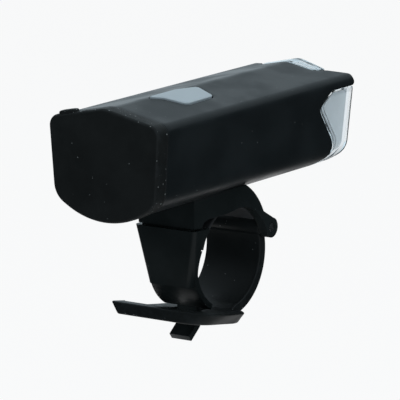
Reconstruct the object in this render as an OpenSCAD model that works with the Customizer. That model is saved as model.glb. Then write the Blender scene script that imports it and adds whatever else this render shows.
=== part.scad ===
// Bicycle headlight with a charging socket, on a strap clamp for a handlebar.
// +X is the beam, +Y the rider's left, +Z up. The origin is on the handlebar's axis.
// All lengths are in millimetres and all angles in degrees.

/* [Lamp section] */
// Width across the lamp's shoulders
lamp_w = 33; // [31:0.2:38]
// Height of the shoulders above the belly
shoulder_h = 24.8; // [24.5:0.1:30]
// Height of the crest above the shoulders
roof_rise = 3.3; // [2.4:0.1:4]
// Lean of the side walls towards the belly
side_taper = 4; // [2:0.5:5]
// Radius of the round belly
belly_r = 22.7; // [21:0.1:30]
// Half angle of the belly's arc
belly_a = 30; // [26:1:33]
// Rounding of the shoulders
shoulder_r = 2.7; // [1.5:0.1:4]
// Rounding between the belly and the side walls
bilge_r = 5.5; // [4:0.1:6]
// Rounding of the crest
crest_r = 6; // [3:0.5:9]

/* [Lamp length] */
// Distance of the cap's seam behind the handlebar's axis
seam_back = 37.3; // [35:0.1:44]
// Room between the seam and the cell, for the cap's plug, the bulkhead and the socket
rear_room = 10.65; // [10:0.05:16]
// Wall of the shell
wall = 1.8; // [1.4:0.1:2.2]
// Depth of the rubber cap behind the seam
cap_depth = 4.6; // [3.6:0.1:7]
// Depth of the cap's plug inside the shell
plug_depth = 2; // [1.2:0.1:2.6]
// Rounding of the visor's corners, seen from above
visor_r = 2; // [1:0.1:4]
// Distance that the cap stands out round the shell
cap_proud = 0.3; // [0.1:0.05:0.4]
// Width of the cap's pull lip
lip_w = 4.2; // [3:0.1:6]

/* [Lens] */
// Distance of the lens face behind the visor's tips
lens_setback = 0.75; // [0.4:0.05:2]
// Wall of the lens round the reflector
lens_wall = 1.6; // [1.2:0.1:2]
// Thickness of the lens face
lens_face = 2; // [1.4:0.1:3]
// Rounding of the lens face's corners, seen from above
lens_r = 1.2; // [0.6:0.1:2]
// Lean of the lens face, its foot to the rear
lens_lean = 5; // [0:0.5:7]
// Rounding of the lens face's lower edge
chin_r = 4; // [3:0.5:8]
// Gap between the reflector's rim and the lens face
bowl_gap = 1.1; // [0.3:0.1:2]
// Length of the lens inside the shell, behind the side window's point
spigot_len = 2.4; // [1.6:0.1:4]
// Distance of the side window's point behind the visor's tips
window_back = 16.2; // [15:0.1:18]
// Height of the side window's point above the belly
window_h = 18.4; // [17:0.1:20]
// Distance of the lens edge under the lamp behind the visor's tips
sill_back = 8.9; // [7.5:0.1:10]
// Height above the belly where the window's lower edge turns upright
sill_h = 8.6; // [7:0.1:11]
// Height of the visor's lower edge above the belly
visor_h = 22.2; // [21:0.1:23]
// Length of the notch in the roof behind the visor's tips
notch_len = 7.5; // [6:0.1:9]
// Width of the notch at its rear
notch_w = 16; // [12:0.2:18]
// Width of the lens tongue in the notch
tongue_w = 19.6; // [16:0.2:20]
// Width of the notch between the visor's tips
mouth_w = 30; // [26:0.2:32]

/* [Button] */
// Distance of the button's middle behind the handlebar's axis
button_back = 13.2; // [10:0.1:16]
// Length of the button's leaf
button_len = 18.6; // [14:0.2:22]
// Width of the button's leaf
button_w = 8.4; // [7:0.1:9.5]
// Distance of the button's upper edge from the crest
button_edge = 0.3; // [0.1:0.05:1]
// Height of the button above the roof
button_proud = 0.35; // [0.2:0.05:0.8]
// Travel of the button
button_travel = 0.5; // [0.3:0.05:0.6]

/* [Inside] */
// Diameter of the cell
cell_d = 18.2; // [14:0.1:18.4]
// Length of the cell
cell_len = 49; // [40:0.5:65]
// Thickness of the circuit board
board_t = 1; // [0.8:0.1:1.2]
// Width of the circuit board
board_w = 23; // [20:0.5:24]
// Thickness of the rear bulkhead
bulkhead_t = 1.6; // [1.2:0.1:2]
// Thickness of the heat sink
sink_t = 3; // [2:0.1:3.2]
// Thickness of the light source's board
led_board_t = 1.2; // [0.8:0.1:1.4]
// Focal length of the reflector's bowl
bowl_focus = 1.6; // [1:0.1:1.7]
// Width of the light source's board
led_board_w = 14; // [10:0.5:15]
// Width of the cell's welded tabs
tab_w = 6; // [4:0.5:8]
// Width of the charging socket
socket_w = 7.8; // [7:0.1:9]
// Height of the charging socket
socket_h = 2.9; // [2.6:0.1:3.2]
// Length of the charging socket
socket_len = 5.6; // [5:0.1:6.4]
// Diameter of the small screws
screw_d = 2; // [1.6:0.1:2.2]

/* [Clamp] */
// Diameter of the handlebar that the clamp closes on
bar_d = 25.4; // [24:0.2:31.8]
// Thickness of the rubber liner on the bar
pad_t = 0.8; // [0.6:0.1:1.2]
// Width of the rubber liner
pad_w = 17.2; // [14:0.2:17.4]
// Thickness of the saddle between the liner and the belly
saddle_t = 2.2; // [1.6:0.1:3]
// Width of the saddle
saddle_w = 22.6; // [22:0.2:25]
// Height of the saddle's cheeks beside the belly
cheek_h = 2.8; // [2:0.1:3.4]
// Height of the rear block's rim above the bar's axis
rim_z = 9.5; // [8.5:0.1:10]
// Distance of the rim's rear edge behind the bar
rim_back = 4.15; // [4:0.05:5]
// Width of the rear block at its rim
rim_w = 19.1; // [18.4:0.1:20]
// Rounding of the rear block's corners
block_r = 1.5; // [1:0.1:2.4]
// Distance of the foot's rear edge behind the bar
foot_back = 2.6; // [2.2:0.1:3.4]
// Width of the rear block at its foot
foot_w = 13.2; // [11:0.1:16]
// Height of the rear block
block_h = 15.1; // [13:0.1:17]
// Thickness of the arm round the bar
arm_t = 1.45; // [1:0.05:1.5]
// Width of the arm round the bar
arm_w = 14.4; // [10:0.1:16]

/* [Strap] */
// Thickness of the strap
strap_t = 2.6; // [2.2:0.1:3.4]
// Width of the strap
strap_w = 17; // [14:0.2:17]
// Thickness of the strap's free end
tail_t = 1.85; // [1.5:0.05:1.9]
// Slope of the free end
tail_a = 6.1; // [4:0.1:8]
// Distance of the pull's rear face behind the bar's axis
pull_back = 20; // [18.6:0.1:22]
// Height of the pull's rear face
pull_h = 3.2; // [2.6:0.1:4]
// Depth of the pull's raised lip
pull_lip = 3.5; // [2.4:0.1:3.6]
// Width of the pull
pull_w = 29.6; // [24:0.1:32]
// Undercut of the pull's ends
pull_undercut = 2.2; // [0:0.1:3]
// Diameter of the strap's pin
pin_d = 2.4; // [2:0.1:2.6]
// Wall of the strap's eye round the pin
eye_wall = 1.05; // [0.9:0.05:1.3]
// Width of the hook
hook_w = 6.1; // [4:0.1:6.4]
// Thickness of the hook
hook_t = 1.7; // [1.3:0.1:1.9]
// Length of the hook's bent tip
hook_tip = 4.9; // [3:0.1:5]
// Droop of the hook's bent tip
hook_droop = 37.5; // [30:0.5:45]
// Distance of the hook's shank behind the bar's axis
hook_back = 6.75; // [6.4:0.05:7.2]
// Room in the strap's window beside the hook
window_room = 0.55; // [0.4:0.05:1]

/* [Clearances] */
// Gap between pieces that slide into each other
fit = 0.15; // [0.1:0.01:0.2]
// Gap round the button and at the cap's seam
seam = 0.25; // [0.2:0.01:0.35]
// Gap between hard clamp pieces and the bar
bar_gap = 0.25; // [0.2:0.01:0.35]
// Radial clearance of the strap's eye on its pin
pin_clear = 0.05; // [0.02:0.01:0.08]

/* [Hidden] */
$fn = 64;
eps = 0.01;

// Heights
bar_r = bar_d / 2;
belly_z = bar_r + pad_t + saddle_t;
crest_h = shoulder_h + roof_rise;
crest_z = belly_z + crest_h;
roof_a = atan(roof_rise / (lamp_w / 2));
visor_z = belly_z + visor_h;
beam_z = belly_z + 13.4;

// Stations along the lamp
tab_t = 0.25;
gasket_t = 1;
head_h = 1.2;
seam_x = -seam_back;
bulkhead_x = seam_x + plug_depth + head_h + 0.5;
board_x = bulkhead_x + bulkhead_t + 0.2;
cell_x = seam_x + rear_room;
board_end_x = cell_x + cell_len + tab_t;
sink_x = board_end_x + 0.4;
spigot_x = sink_x + sink_t + gasket_t;
window_x = spigot_x + spigot_len;
tip_x = window_x + window_back;
lens_x = tip_x - lens_setback;
sill_x = tip_x - sill_back;

// Inner pieces
cell_z = belly_z + wall + 0.7 + cell_d / 2;
board_z = cell_z + cell_d / 2 + 0.4;
board_top = board_z + board_t;
switch_h = 1.2;
knob_h = 0.4;
boss_d = 4.4;
boss_len = 4.5;
boss_y = lamp_w / 2 - wall - 3.2;
boss_z = belly_z + 8.6;
post_y = board_w / 2 - 2.2;
post_x = [board_x + 4.4, board_end_x - 8];
saddle_screw_x = [-5.5, 5.5];
saddle_screw_z = belly_z + wall;
saddle_screw_len = wall + saddle_t - 0.4;
low_head_d = 2 * screw_d;

// Lens, gasket and reflector are nested in the shell's section
lens_in = wall + fit;
gasket_w = 1.5;
bowl_in = lens_in + lens_wall + 0.25;
bowl_x = spigot_x + 0.9;
bowl_end_x = lens_x - lens_face - bowl_gap;

// Clamp
pad_r = bar_r + pad_t;
pad_a = [38, 162];
hard_r = bar_r + bar_gap;
rim_x = -(bar_r + rim_back);
foot_x = -(bar_r + foot_back);
foot_z = rim_z - block_h;
block_wall = 1.2;
leg_w = rim_w - 3.4;
arm_r = hard_r + arm_t;
arm_end_a = 240;

// Strap
strap_in = bar_r + 0.3;
strap_r = strap_in + strap_t;
eye_r = pin_d / 2 + pin_clear + eye_wall;
pin_a = 20;
pin_at = polar(strap_in + eye_r, pin_a);
lug_gap = 0.3;
lug_y = strap_w / 2 + lug_gap;
flex_at = [1, -(strap_r - 0.6)];
flex_gap = 0.15;
tail_in = strap_r - tail_t;
window_w = hook_w + 2 * window_room;
window_ahead = hook_back - 4.5;
window_behind = pull_back - pull_lip - 0.2;

// Unit vector, point by angle, and the crossing of two lines given by a point and a direction
function unit(v) = v / norm(v);
function polar(r, a) = r * [cos(a), sin(a)];
function meet(p, u, q, v) = p + u * (cross(q - p, v) / cross(u, v));
function turned(a) = a > 180 ? a - 360 : a < -180 ? a + 360 : a;

// Points on an arc from one angle to another
function arc(c, r, a0, a1, n) = [for (i = [0:n]) c + polar(r, a0 + (a1 - a0) * i / n)];

// Arc of radius r that rounds the corner b between a and c
function fillet(a, b, c, r, n = 6) =
    let (u = unit(a - b),
         v = unit(c - b),
         half = acos(u * v) / 2,
         mid = b + unit(u + v) * r / sin(half),
         p = b + u * r / tan(half) - mid,
         q = b + v * r / tan(half) - mid,
         a0 = atan2(p[1], p[0]))
    arc(mid, r, a0, a0 + turned(atan2(q[1], q[0]) - a0), n);

// Arc from p to q that bows out to the left by the given rise
function bow(p, q, rise, n) =
    let (c = norm(q - p),
         r = (c * c / 4 + rise * rise) / (2 * rise),
         u = (q - p) / c,
         mid = (p + q) / 2 - [-u[1], u[0]] * (r - rise),
         a0 = atan2((p - mid)[1], (p - mid)[0]),
         a1 = atan2((q - mid)[1], (q - mid)[0]))
    arc(mid, r, a0, a0 + turned(a1 - a0), n);

// Closed outline with every corner rounded
function rounded(pts, r, n = 5) =
    let (k = len(pts))
    [for (i = [0:k - 1]) each fillet(pts[(i + k - 1) % k], pts[i], pts[(i + 1) % k], r, n)];

// Closed clockwise outline moved outwards by d
function grown(pts, d) =
    let (k = len(pts))
    [for (i = [0:k - 1])
        let (u = unit(pts[i] - pts[(i + k - 1) % k]),
             v = unit(pts[(i + 1) % k] - pts[i]),
             m = [-u[1], u[0]],
             n = [-v[1], v[0]])
        pts[i] + d * (m + n) / (1 + m * n)];

function flipped(pts) = [for (i = [len(pts) - 1:-1:0]) [-pts[i][0], pts[i][1]]];

// Section of the lamp, d inside its outer surface: crest, shoulders, leaning sides and round belly
function section(d) =
    let (n_roof = [sin(roof_a), cos(roof_a)],
         n_side = [cos(side_taper), -sin(side_taper)],
         crest = [0, crest_h - d / cos(roof_a)],
         shoulder = [lamp_w / 2, shoulder_h] - d * (n_roof + n_side) / (1 + n_roof * n_side),
         far_shoulder = [-shoulder[0], shoulder[1]],
         r = belly_r - d,
         belly_end = [r * sin(belly_a), belly_r - r * cos(belly_a)],
         bilge = meet(shoulder, [sin(side_taper), cos(side_taper)], belly_end, [cos(belly_a), sin(belly_a)]),
         side = concat(fillet(crest, shoulder, bilge, max(shoulder_r - d, 0.4)),
                       fillet(shoulder, bilge, belly_end, max(bilge_r - d, 1))))
    concat(fillet(far_shoulder, crest, shoulder, crest_r, 4),
           side,
           arc([0, belly_r], r, -90 + belly_a, -90 - belly_a, 12),
           flipped(side));

// Lens area in side view, with its edges g inside the shell's
function lens_area(g) =
    let (front = tip_x + 5,
         bend = [window_x + 5.9, visor_z - 0.1 - g],
         point = [window_x + g, belly_z + window_h],
         sill = [sill_x + g, belly_z + sill_h],
         foot = [sill_x + g, belly_z - 5])
    concat([[front, visor_z - g]],
           fillet([front, visor_z - g], bend, point, 4),
           fillet(bend, point, sill, 1.5),
           fillet(point, sill, foot, 5),
           [foot, [front, belly_z - 5]]);

// Shell in plan, with corners of radius r, d inside the visor's tips
function visor_plan(d, r) =
    let (w = lamp_w / 2,
         a = [seam_x - 1, w],
         b = [tip_x - d, w],
         corner = fillet(a, b, [tip_x - d, 0], r))
    concat([a], corner, [for (i = [len(corner) - 1:-1:0]) [corner[i][0], -corner[i][1]]], [[seam_x - 1, -w]]);

// Shell in side view: the roof falls to the visor's round tips
function visor_side() =
    let (top = crest_z + 0.3,
         brow = [tip_x - 4.5, top],
         tip = [tip_x, belly_z + shoulder_h + 0.4],
         jaw = [tip_x, visor_z - 0.6])
    concat([[seam_x - 1, belly_z - 2], [tip_x - 5, belly_z - 2], [tip_x - 5, jaw[1]]],
           fillet([tip_x - 5, jaw[1]], jaw, tip, 1.4),
           fillet(jaw, tip, brow, 1.8),
           [brow, [seam_x - 1, top]]);

// Lens in side view, d inside its surface: a face that leans to the rear and a round chin
function lens_side(d) =
    let (x = lens_x - d,
         top = [x, visor_z + 0.5],
         chin = [x - tan(lens_lean) * visor_h, belly_z + d])
    concat([[spigot_x - 1, belly_z + d]],
           fillet([spigot_x, chin[1]], chin, top, chin_r),
           [top, [x, crest_z + 1], [spigot_x - 1, crest_z + 1]]);

// Lens tongue in plan, with a front edge that falls back from the crest
function tongue_plan() =
    let (w = tongue_w / 2,
         front = tip_x - 1.3,
         side = front - 1.9)
    [[sill_x - 2, w], [side, w], [front - 0.4, 2.5], [front, 0],
     [front - 0.4, -2.5], [side, -w], [sill_x - 2, -w]];

// Notch in the roof in plan, g inside its edges: square at the rear, wide open between the visor's tips
function notch_plan(g) =
    let (rear = [tip_x - notch_len + g, notch_w / 2 - g],
         waist = [tip_x - notch_len / 2, tongue_w / 2 + 0.2 - g],
         mouth = [tip_x + 1, mouth_w / 2 + 1 - g],
         half = concat(fillet([rear[0], 0], rear, waist, 1.2), fillet(rear, waist, mouth, 4), [mouth]))
    concat(half, [for (i = [len(half) - 1:-1:0]) [half[i][0], -half[i][1]]]);

// Leaf of the button on the roof slope: X along the lamp, Y down from the crest
button_leaf = [for (p = [[-0.505, 0], [0.086, 0], [0.495, 0.17], [0.366, 0.95], [-0.274, 1], [-0.36, 0.3]])
               [p[0] * button_len - button_back, -button_edge - p[1] * button_w]];
stem_at = [-button_back, -button_edge - button_w / 2];

// Prism along X with a section measured from the belly
module along_x(pts, x0, x1) {
    translate([x0, 0, belly_z]) rotate([90, 0, 90]) linear_extrude(x1 - x0) polygon(pts);
}

// Prism across Y with a side view in X and Z
module across_y(pts, y0, y1) {
    translate([0, y1, 0]) rotate([90, 0, 0]) linear_extrude(y1 - y0) polygon(pts);
}

// Box between two corners
module box(a, b) {
    translate(a) cube(b - a);
}

// Rod along Y through a point of the side view
module rod_y(at, r, w) {
    translate([at[0], 0, at[1]]) rotate([90, 0, 0]) cylinder(r = r, h = w, center = true);
}

// Slice of a pie round the bar's axis
module wedge(a0, a1, w) {
    across_y(concat([[0, 0]], arc([0, 0], 60, a0, a1, 6)), -w / 2, w / 2);
}

// Part of a ring round the bar
module bar_ring(r0, r1, a0, a1, w) {
    intersection() {
        difference() {
            rod_y([0, 0], r1, w);
            rod_y([0, 0], r0, w + 2);
        }
        wedge(a0, a1, w + 1);
    }
}

// Screw along Z: the head stands on z = 0 and the shank hangs below it
module screw(d, len) {
    cylinder(d = 1.8 * d, h = head_h * d / 2);
    translate([0, 0, -len]) cylinder(d = d, h = len + eps);
}

// Places of repeated pieces
module at_posts() {
    for (x = post_x, s = [-1, 1]) translate([x, s * post_y, board_z]) children();
}

module at_bosses() {
    for (s = [-1, 1]) translate([bulkhead_x, s * boss_y, boss_z]) rotate([0, -90, 0]) children();
}

module at_saddle_screws() {
    for (x = saddle_screw_x) translate([x, 0, saddle_screw_z]) children();
}

// Frame of the near roof slope: z is square to the roof, y runs down from the crest
module on_roof() {
    translate([0, 0, crest_z]) rotate([roof_a, 0, 0]) children();
}

module notch(g) {
    translate([0, 0, visor_z]) linear_extrude(crest_z - visor_z + 1) polygon(notch_plan(g));
}

// Rubber tongue of the cap in the floor of the shell
module tether_slot(g) {
    box([seam_x - 1, -2.5 - g, belly_z - 1], [bulkhead_x - 0.3 + g, 2.5 + g, belly_z + wall + 0.3]);
}

module body_shell() {
    color("#17181a") difference() {
        union() {
            difference() {
                intersection() {
                    along_x(section(0), seam_x + seam / 2, tip_x);
                    translate([0, 0, belly_z - 1]) linear_extrude(crest_h + 3) polygon(visor_plan(0, visor_r));
                    across_y(visor_side(), -lamp_w, lamp_w);
                }
                along_x(section(wall), seam_x - 1, tip_x + 1);
                across_y(lens_area(0), -lamp_w, lamp_w);
                notch(0);
                tether_slot(0.1);
            }
            intersection() {
                along_x(section(wall / 2), seam_x + 1, tip_x - 1);
                union() {
                    at_posts() translate([0, 0, board_t]) cylinder(d = boss_d, h = 20);
                    at_bosses() translate([0, 0, -bulkhead_t - boss_len]) cylinder(d = boss_d, h = boss_len);
                }
            }
        }
        on_roof() translate([0, 0, -wall - 1])
            linear_extrude(wall + 3) polygon(rounded(grown(button_leaf, seam), 0.9 + seam));
        at_posts() cylinder(d = screw_d + 0.1, h = board_t + 2.6);
        at_bosses() translate([0, 0, -bulkhead_t - boss_len - 1]) cylinder(d = screw_d + 0.1, h = boss_len + 2);
        at_saddle_screws() {
            translate([0, 0, -wall - 1]) cylinder(d = screw_d + 0.2, h = wall + 2);
            cylinder(d = low_head_d + 2 * fit, h = 1);
        }
    }
}

module front_lens() {
    color("#e8f1f4", 0.6) difference() {
        union() {
            intersection() {
                union() {
                    intersection() {
                        along_x(section(0), window_x - 1, lens_x);
                        across_y(lens_area(fit), -lamp_w, lamp_w);
                        translate([0, 0, belly_z - 1]) linear_extrude(crest_h)
                            polygon(visor_plan(lens_setback, lens_r));
                    }
                    along_x(section(lens_in), spigot_x, lens_x);
                }
                across_y(lens_side(0), -lamp_w, lamp_w);
            }
            intersection() {
                along_x(section(0), sill_x - 2, lens_x);
                translate([0, 0, visor_z]) linear_extrude(crest_h) polygon(tongue_plan());
                notch(fit);
            }
        }
        intersection() {
            along_x(section(lens_in + lens_wall), spigot_x - 1, lens_x);
            across_y(lens_side(lens_face), -lamp_w, lamp_w);
        }
    }
}

module lens_gasket() {
    color("#303236") difference() {
        along_x(section(lens_in), spigot_x - gasket_t, spigot_x);
        along_x(section(lens_in + gasket_w), spigot_x - gasket_t - 1, spigot_x + 1);
    }
}

// Bowl of revolution about the beam, from the parabola r = sqrt(4 f x)
module bowl() {
    start = spigot_x - 0.4;
    depth = bowl_end_x - start + 1;
    steps = 14;
    pts = [for (i = [1:steps]) let (x = depth * i / steps) [sqrt(4 * bowl_focus * x), x]];
    translate([start, 0, beam_z]) rotate([0, 90, 0])
        rotate_extrude() polygon(concat([[0, 0], [pts[0][0], 0]], pts, [[0, depth]]));
}

module reflector() {
    color("#d9dde0") difference() {
        intersection() {
            along_x(section(bowl_in), bowl_x, bowl_end_x);
            across_y(lens_side(lens_face + bowl_gap), -lamp_w, lamp_w);
        }
        bowl();
    }
}

module led_board() {
    r = led_board_w / 2;
    x = spigot_x - gasket_t;
    color("#e6e4da") box([x, -r, beam_z - r], [x + led_board_t, r, beam_z + r]);
}

module led_emitter() {
    x = spigot_x - gasket_t + led_board_t;
    color("#f2d95c") {
        box([x, -1.75, beam_z - 1.75], [x + 0.6, 1.75, beam_z + 1.75]);
        intersection() {
            translate([x + 0.5, 0, beam_z]) sphere(r = 1.4);
            box([x + 0.5, -2, beam_z - 2], [x + 3, 2, beam_z + 2]);
        }
    }
}

module heat_sink() {
    color("#b9bdc0") difference() {
        along_x(section(lens_in), sink_x, sink_x + sink_t);
        for (i = [-2:2])
            box([sink_x - 1, i * 4 - 1, belly_z + 6], [sink_x + sink_t / 2, i * 4 + 1, board_z - 3]);
        for (s = [-1, 1])
            translate([sink_x - 1, s * 9.5, beam_z]) rotate([0, 90, 0]) cylinder(d = 2, h = sink_t + 2);
    }
}

module battery_cell() {
    color("#3f6ea8") {
        translate([cell_x, 0, cell_z]) rotate([0, 90, 0]) cylinder(d = cell_d, h = cell_len);
    }
}

module battery_cradle() {
    color("#e9e9e6") difference() {
        intersection() {
            along_x(section(lens_in), cell_x, cell_x + cell_len);
            box([cell_x - 1, -cell_d / 2 - 1.4, belly_z], [cell_x + cell_len + 1, cell_d / 2 + 1.4, cell_z - 3]);
        }
        translate([cell_x - 1, 0, cell_z]) rotate([0, 90, 0]) cylinder(d = cell_d + fit, h = cell_len + 2);
        box([saddle_screw_x[0] - 3, -3, belly_z], [saddle_screw_x[1] + 3, 3, cell_z]);
    }
}

module cell_tabs() {
    color("#c9c9c2")
        for (x = [cell_x - tab_t, cell_x + cell_len])
            box([x, -tab_w / 2, cell_z - cell_d / 4], [x + tab_t, tab_w / 2, board_z]);
}

module control_board() {
    color("#1f6b43") difference() {
        box([board_x, -board_w / 2, board_z], [board_end_x, board_w / 2, board_top]);
        at_posts() translate([0, 0, -1]) cylinder(d = screw_d + 0.2, h = board_t + 2);
    }
}

module board_screws() {
    color("#9a9c9e") at_posts() mirror([0, 0, 1]) screw(screw_d, board_t + 2.2);
}

// Metal shell round a tongue, open to the rear
module usb_socket() {
    skin = 0.4;
    tongue_t = 0.75;
    x = bulkhead_x - 0.4;
    low = board_z - socket_h;
    tongue_z = board_z - skin - 0.6;
    hole_w = socket_w / 2 - skin;
    deep = x + socket_len - 0.8;
    color("#c4c7ca") difference() {
        box([x, -socket_w / 2, low], [x + socket_len, socket_w / 2, board_z]);
        box([x - 1, -hole_w, low + skin], [deep, hole_w, tongue_z - tongue_t]);
        box([x - 1, -hole_w, tongue_z], [deep, hole_w, board_z - skin]);
        box([x - 1, -hole_w, low + skin], [x + 1, hole_w, board_z - skin]);
        for (s = [-1, 1])
            box([x - 1, s * (hole_w - 0.3) - 0.3, low + skin], [deep, s * (hole_w - 0.3) + 0.3, board_z - skin]);
    }
}

module tact_switch() {
    color("#2b2c2e") {
        translate([stem_at[0] - 2.25, stem_at[1] - 2.25, board_top]) cube([4.5, 4.5, switch_h]);
        translate([stem_at[0], stem_at[1], board_top]) cylinder(d = 2.2, h = switch_h + knob_h);
    }
}

module indicator_led() {
    color("#e7f4ea") translate([stem_at[0] + 5.5, stem_at[1] - 0.4, board_top]) cube([1.6, 0.8, 0.8]);
}

module power_button() {
    top_of_knob = board_top + switch_h + knob_h;
    flange_t = 0.6;
    under = -wall / cos(roof_a) - 0.05;
    stem_end = (top_of_knob + button_travel + 0.1 - crest_z - stem_at[1] * sin(roof_a)) / cos(roof_a) + 0.25;
    color("#b7bcc0") {
        on_roof() translate([0, 0, under - eps])
            linear_extrude(button_proud - under + eps) polygon(rounded(button_leaf, 0.9));
        intersection() {
            on_roof() translate([0, 0, under - flange_t])
                linear_extrude(flange_t) polygon(rounded(grown(button_leaf, 0.8), 1.2));
            along_x(section(wall + 0.05), seam_x, tip_x);
        }
        on_roof() translate([stem_at[0], stem_at[1], stem_end])
            cylinder(d = 2.4, h = under - flange_t / 2 - stem_end);
    }
}

module rear_bulkhead() {
    color("#202124") difference() {
        along_x(section(lens_in), bulkhead_x, bulkhead_x + bulkhead_t);
        box([bulkhead_x - 1, -socket_w / 2 - fit, board_z - socket_h - fit],
            [bulkhead_x + bulkhead_t + 1, socket_w / 2 + fit, board_z + fit]);
        at_bosses() translate([0, 0, -bulkhead_t - 1]) cylinder(d = screw_d + 0.2, h = bulkhead_t + 2);
    }
}

module bulkhead_screws() {
    color("#9a9c9e") at_bosses() screw(screw_d, bulkhead_t + 3.4);
}

module usb_cap() {
    rear = seam_x - cap_depth;
    bevel = 0.5;
    lip_y = lamp_w / 2 - 3.5;
    color("#232527") {
        along_x(section(-cap_proud), rear + bevel, seam_x - seam / 2);
        along_x(section(bevel - cap_proud), rear, rear + bevel + eps);
        difference() {
            along_x(section(wall + 0.35), seam_x - seam / 2 - eps, seam_x + plug_depth);
            along_x(section(wall + 2.2), seam_x - seam / 2 - 1, seam_x + plug_depth + 1);
        }
        intersection() {
            along_x(section(-cap_proud - 0.6), rear + 0.2, rear + 2.2);
            box([rear, lip_y - lip_w, belly_z + shoulder_h - 1], [seam_x, lip_y, crest_z + 1]);
        }
    }
}

module cap_tether() {
    color("#232527") {
        intersection() {
            difference() {
                along_x(section(0.1), seam_x + seam / 2, bulkhead_x);
                along_x(section(wall - 0.1), seam_x - 1, bulkhead_x + 1);
            }
            tether_slot(0);
        }
        box([seam_x + plug_depth + 0.3, -2.5, belly_z + wall - 0.2],
            [bulkhead_x - 0.3, 2.5, belly_z + wall + 1.2]);
    }
}

// Side view of the saddle: round front shoulder, flat ledge behind the bar and the leg in the block's pocket
function saddle_side() =
    let (top = belly_z + cheek_h,
         shoulder = [2.85, top],
         toe = polar(bar_r + 2.1, 43.6),
         ledge_z = rim_z + 0.5,
         leg_top = rim_x + block_wall + fit,
         slope = (foot_x - rim_x) / block_h)
    concat([[rim_x + 0.9, top]],
           bow(shoulder, toe, 0.9, 8),
           [polar(bar_r - 2, 43.6), [-2.5, bar_r - 2], [-2.5, bar_r]],
           fillet([-2.5, bar_r], [-12.2, bar_r - 0.9], [rim_x + 2.95, ledge_z], 3),
           [[rim_x + 3.1, ledge_z - 0.3], [rim_x + 3.1, rim_z - 7],
            [leg_top + slope * 7, rim_z - 7], [leg_top, rim_z], [leg_top, ledge_z], [rim_x + 0.9, ledge_z]]);

// Plan of the saddle: straight cheeks that draw in towards the block
function saddle_plan() =
    let (w = saddle_w / 2,
         rear = leg_w / 2 + 0.1,
         half = concat([[40, w]], fillet([40, w], [-5, w], [rim_x, rear], 6), [[rim_x - 2, rear]]))
    concat(half, [for (i = [len(half) - 1:-1:0]) [half[i][0], -half[i][1]]]);

module saddle_lugs() {
    toe = polar(bar_r + 2.1, 43.6);
    inner = polar(bar_r - 1, 40);
    r = eye_r + 0.3;
    pts = concat([toe + [-3.5, 3]], [toe], arc(pin_at, r, 75, -120, 12), [inner]);
    for (s = [-1, 1])
        across_y(pts, s > 0 ? lug_y : -saddle_w / 2, s > 0 ? saddle_w / 2 : -lug_y);
}

module saddle() {
    color("#1c1d1f") difference() {
        union() {
            difference() {
                intersection() {
                    across_y(saddle_side(), -saddle_w, saddle_w);
                    translate([0, 0, -60]) linear_extrude(120) polygon(saddle_plan());
                }
                for (s = [-1, 1])
                    box([rim_x - 2, s * (leg_w / 2 + 10) - 10, -20], [-5, s * (leg_w / 2 + 10) + 10, rim_z + 0.4]);
            }
            saddle_lugs();
        }
        along_x(section(-0.05), seam_x, tip_x);
        rod_y([0, 0], hard_r, 60);
        bar_ring(bar_r - 1, pad_r + 0.1, pad_a[0] - 1, pad_a[1] + 1, pad_w + 0.3);
        rod_y(pin_at, pin_d / 2 + 0.02, 60);
        at_saddle_screws() translate([0, 0, -10]) cylinder(d = screw_d + 0.05, h = 12);
    }
}

module saddle_screws() {
    color("#9a9c9e") at_saddle_screws() screw_low();
}

// Low-headed screw under the cell
module screw_low() {
    cylinder(d = low_head_d, h = 0.6);
    translate([0, 0, -saddle_screw_len]) cylinder(d = screw_d, h = saddle_screw_len + eps);
}

module bar_pad() {
    color("#2a2b2d") bar_ring(bar_r, pad_r, pad_a[0], pad_a[1], pad_w);
}

// Plan of the block at one height: square front, round rear corners
module block_slice(rear, w, z) {
    a = [rear, w / 2];
    front = -bar_r + 2;
    corner = fillet([front, w / 2], a, [rear, 0], block_r, 5);
    pts = concat([[front, w / 2]], corner,
                 [for (i = [len(corner) - 1:-1:0]) [corner[i][0], -corner[i][1]]], [[front, -w / 2]]);
    translate([0, 0, z]) linear_extrude(eps) polygon(pts);
}

// Hook: a shank through the strap's window and a tip that droops to the rear
module hook() {
    shank_end = -(strap_r + 1.3);
    elbow = [-hook_back, shank_end];
    tip_dir = [-cos(hook_droop), -sin(hook_droop)];
    side = [-tip_dir[1], tip_dir[0]];
    t = hook_t / 2;
    tip = elbow + hook_tip * tip_dir;
    outer = meet(elbow + [t, 0], [0, -1], tip + side * t, tip_dir);
    inner = meet(elbow - [t, 0], [0, -1], tip - side * t, tip_dir);
    pts = concat([[t - hook_back, -bar_r + 1]],
                 fillet([t - hook_back, 0], outer, tip + side * t, 1.8),
                 [tip + side * t, tip - side * t],
                 [inner, [-t - hook_back, -bar_r + 1]]);
    across_y(pts, -hook_w / 2, hook_w / 2);
    bar_ring(hard_r, arm_r, arm_end_a - 2, 270 - asin((hook_back - t) / arm_r), hook_w);
}

module rear_hook() {
    slope = (foot_x - rim_x) / block_h;
    pocket_deep = 7.6;
    pocket_rear = rim_x + block_wall;
    pocket = [[pocket_rear, rim_z + 1], [pocket_rear, rim_z],
              [pocket_rear + slope * pocket_deep, rim_z - pocket_deep],
              [-bar_r + 3, rim_z - pocket_deep], [-bar_r + 3, rim_z + 1]];
    color("#1a1b1d") difference() {
        union() {
            difference() {
                hull() {
                    block_slice(rim_x, rim_w, rim_z - eps);
                    block_slice(foot_x, foot_w, foot_z);
                }
                across_y(pocket, -leg_w / 2 - fit, leg_w / 2 + fit);
            }
            bar_ring(hard_r - 1, arm_r, 190, arm_end_a, arm_w);
            hook();
        }
        rod_y([0, 0], hard_r, 60);
        bar_ring(bar_r - 1, pad_r + 0.1, 100, pad_a[1] + 1, 60);
    }
}

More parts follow.
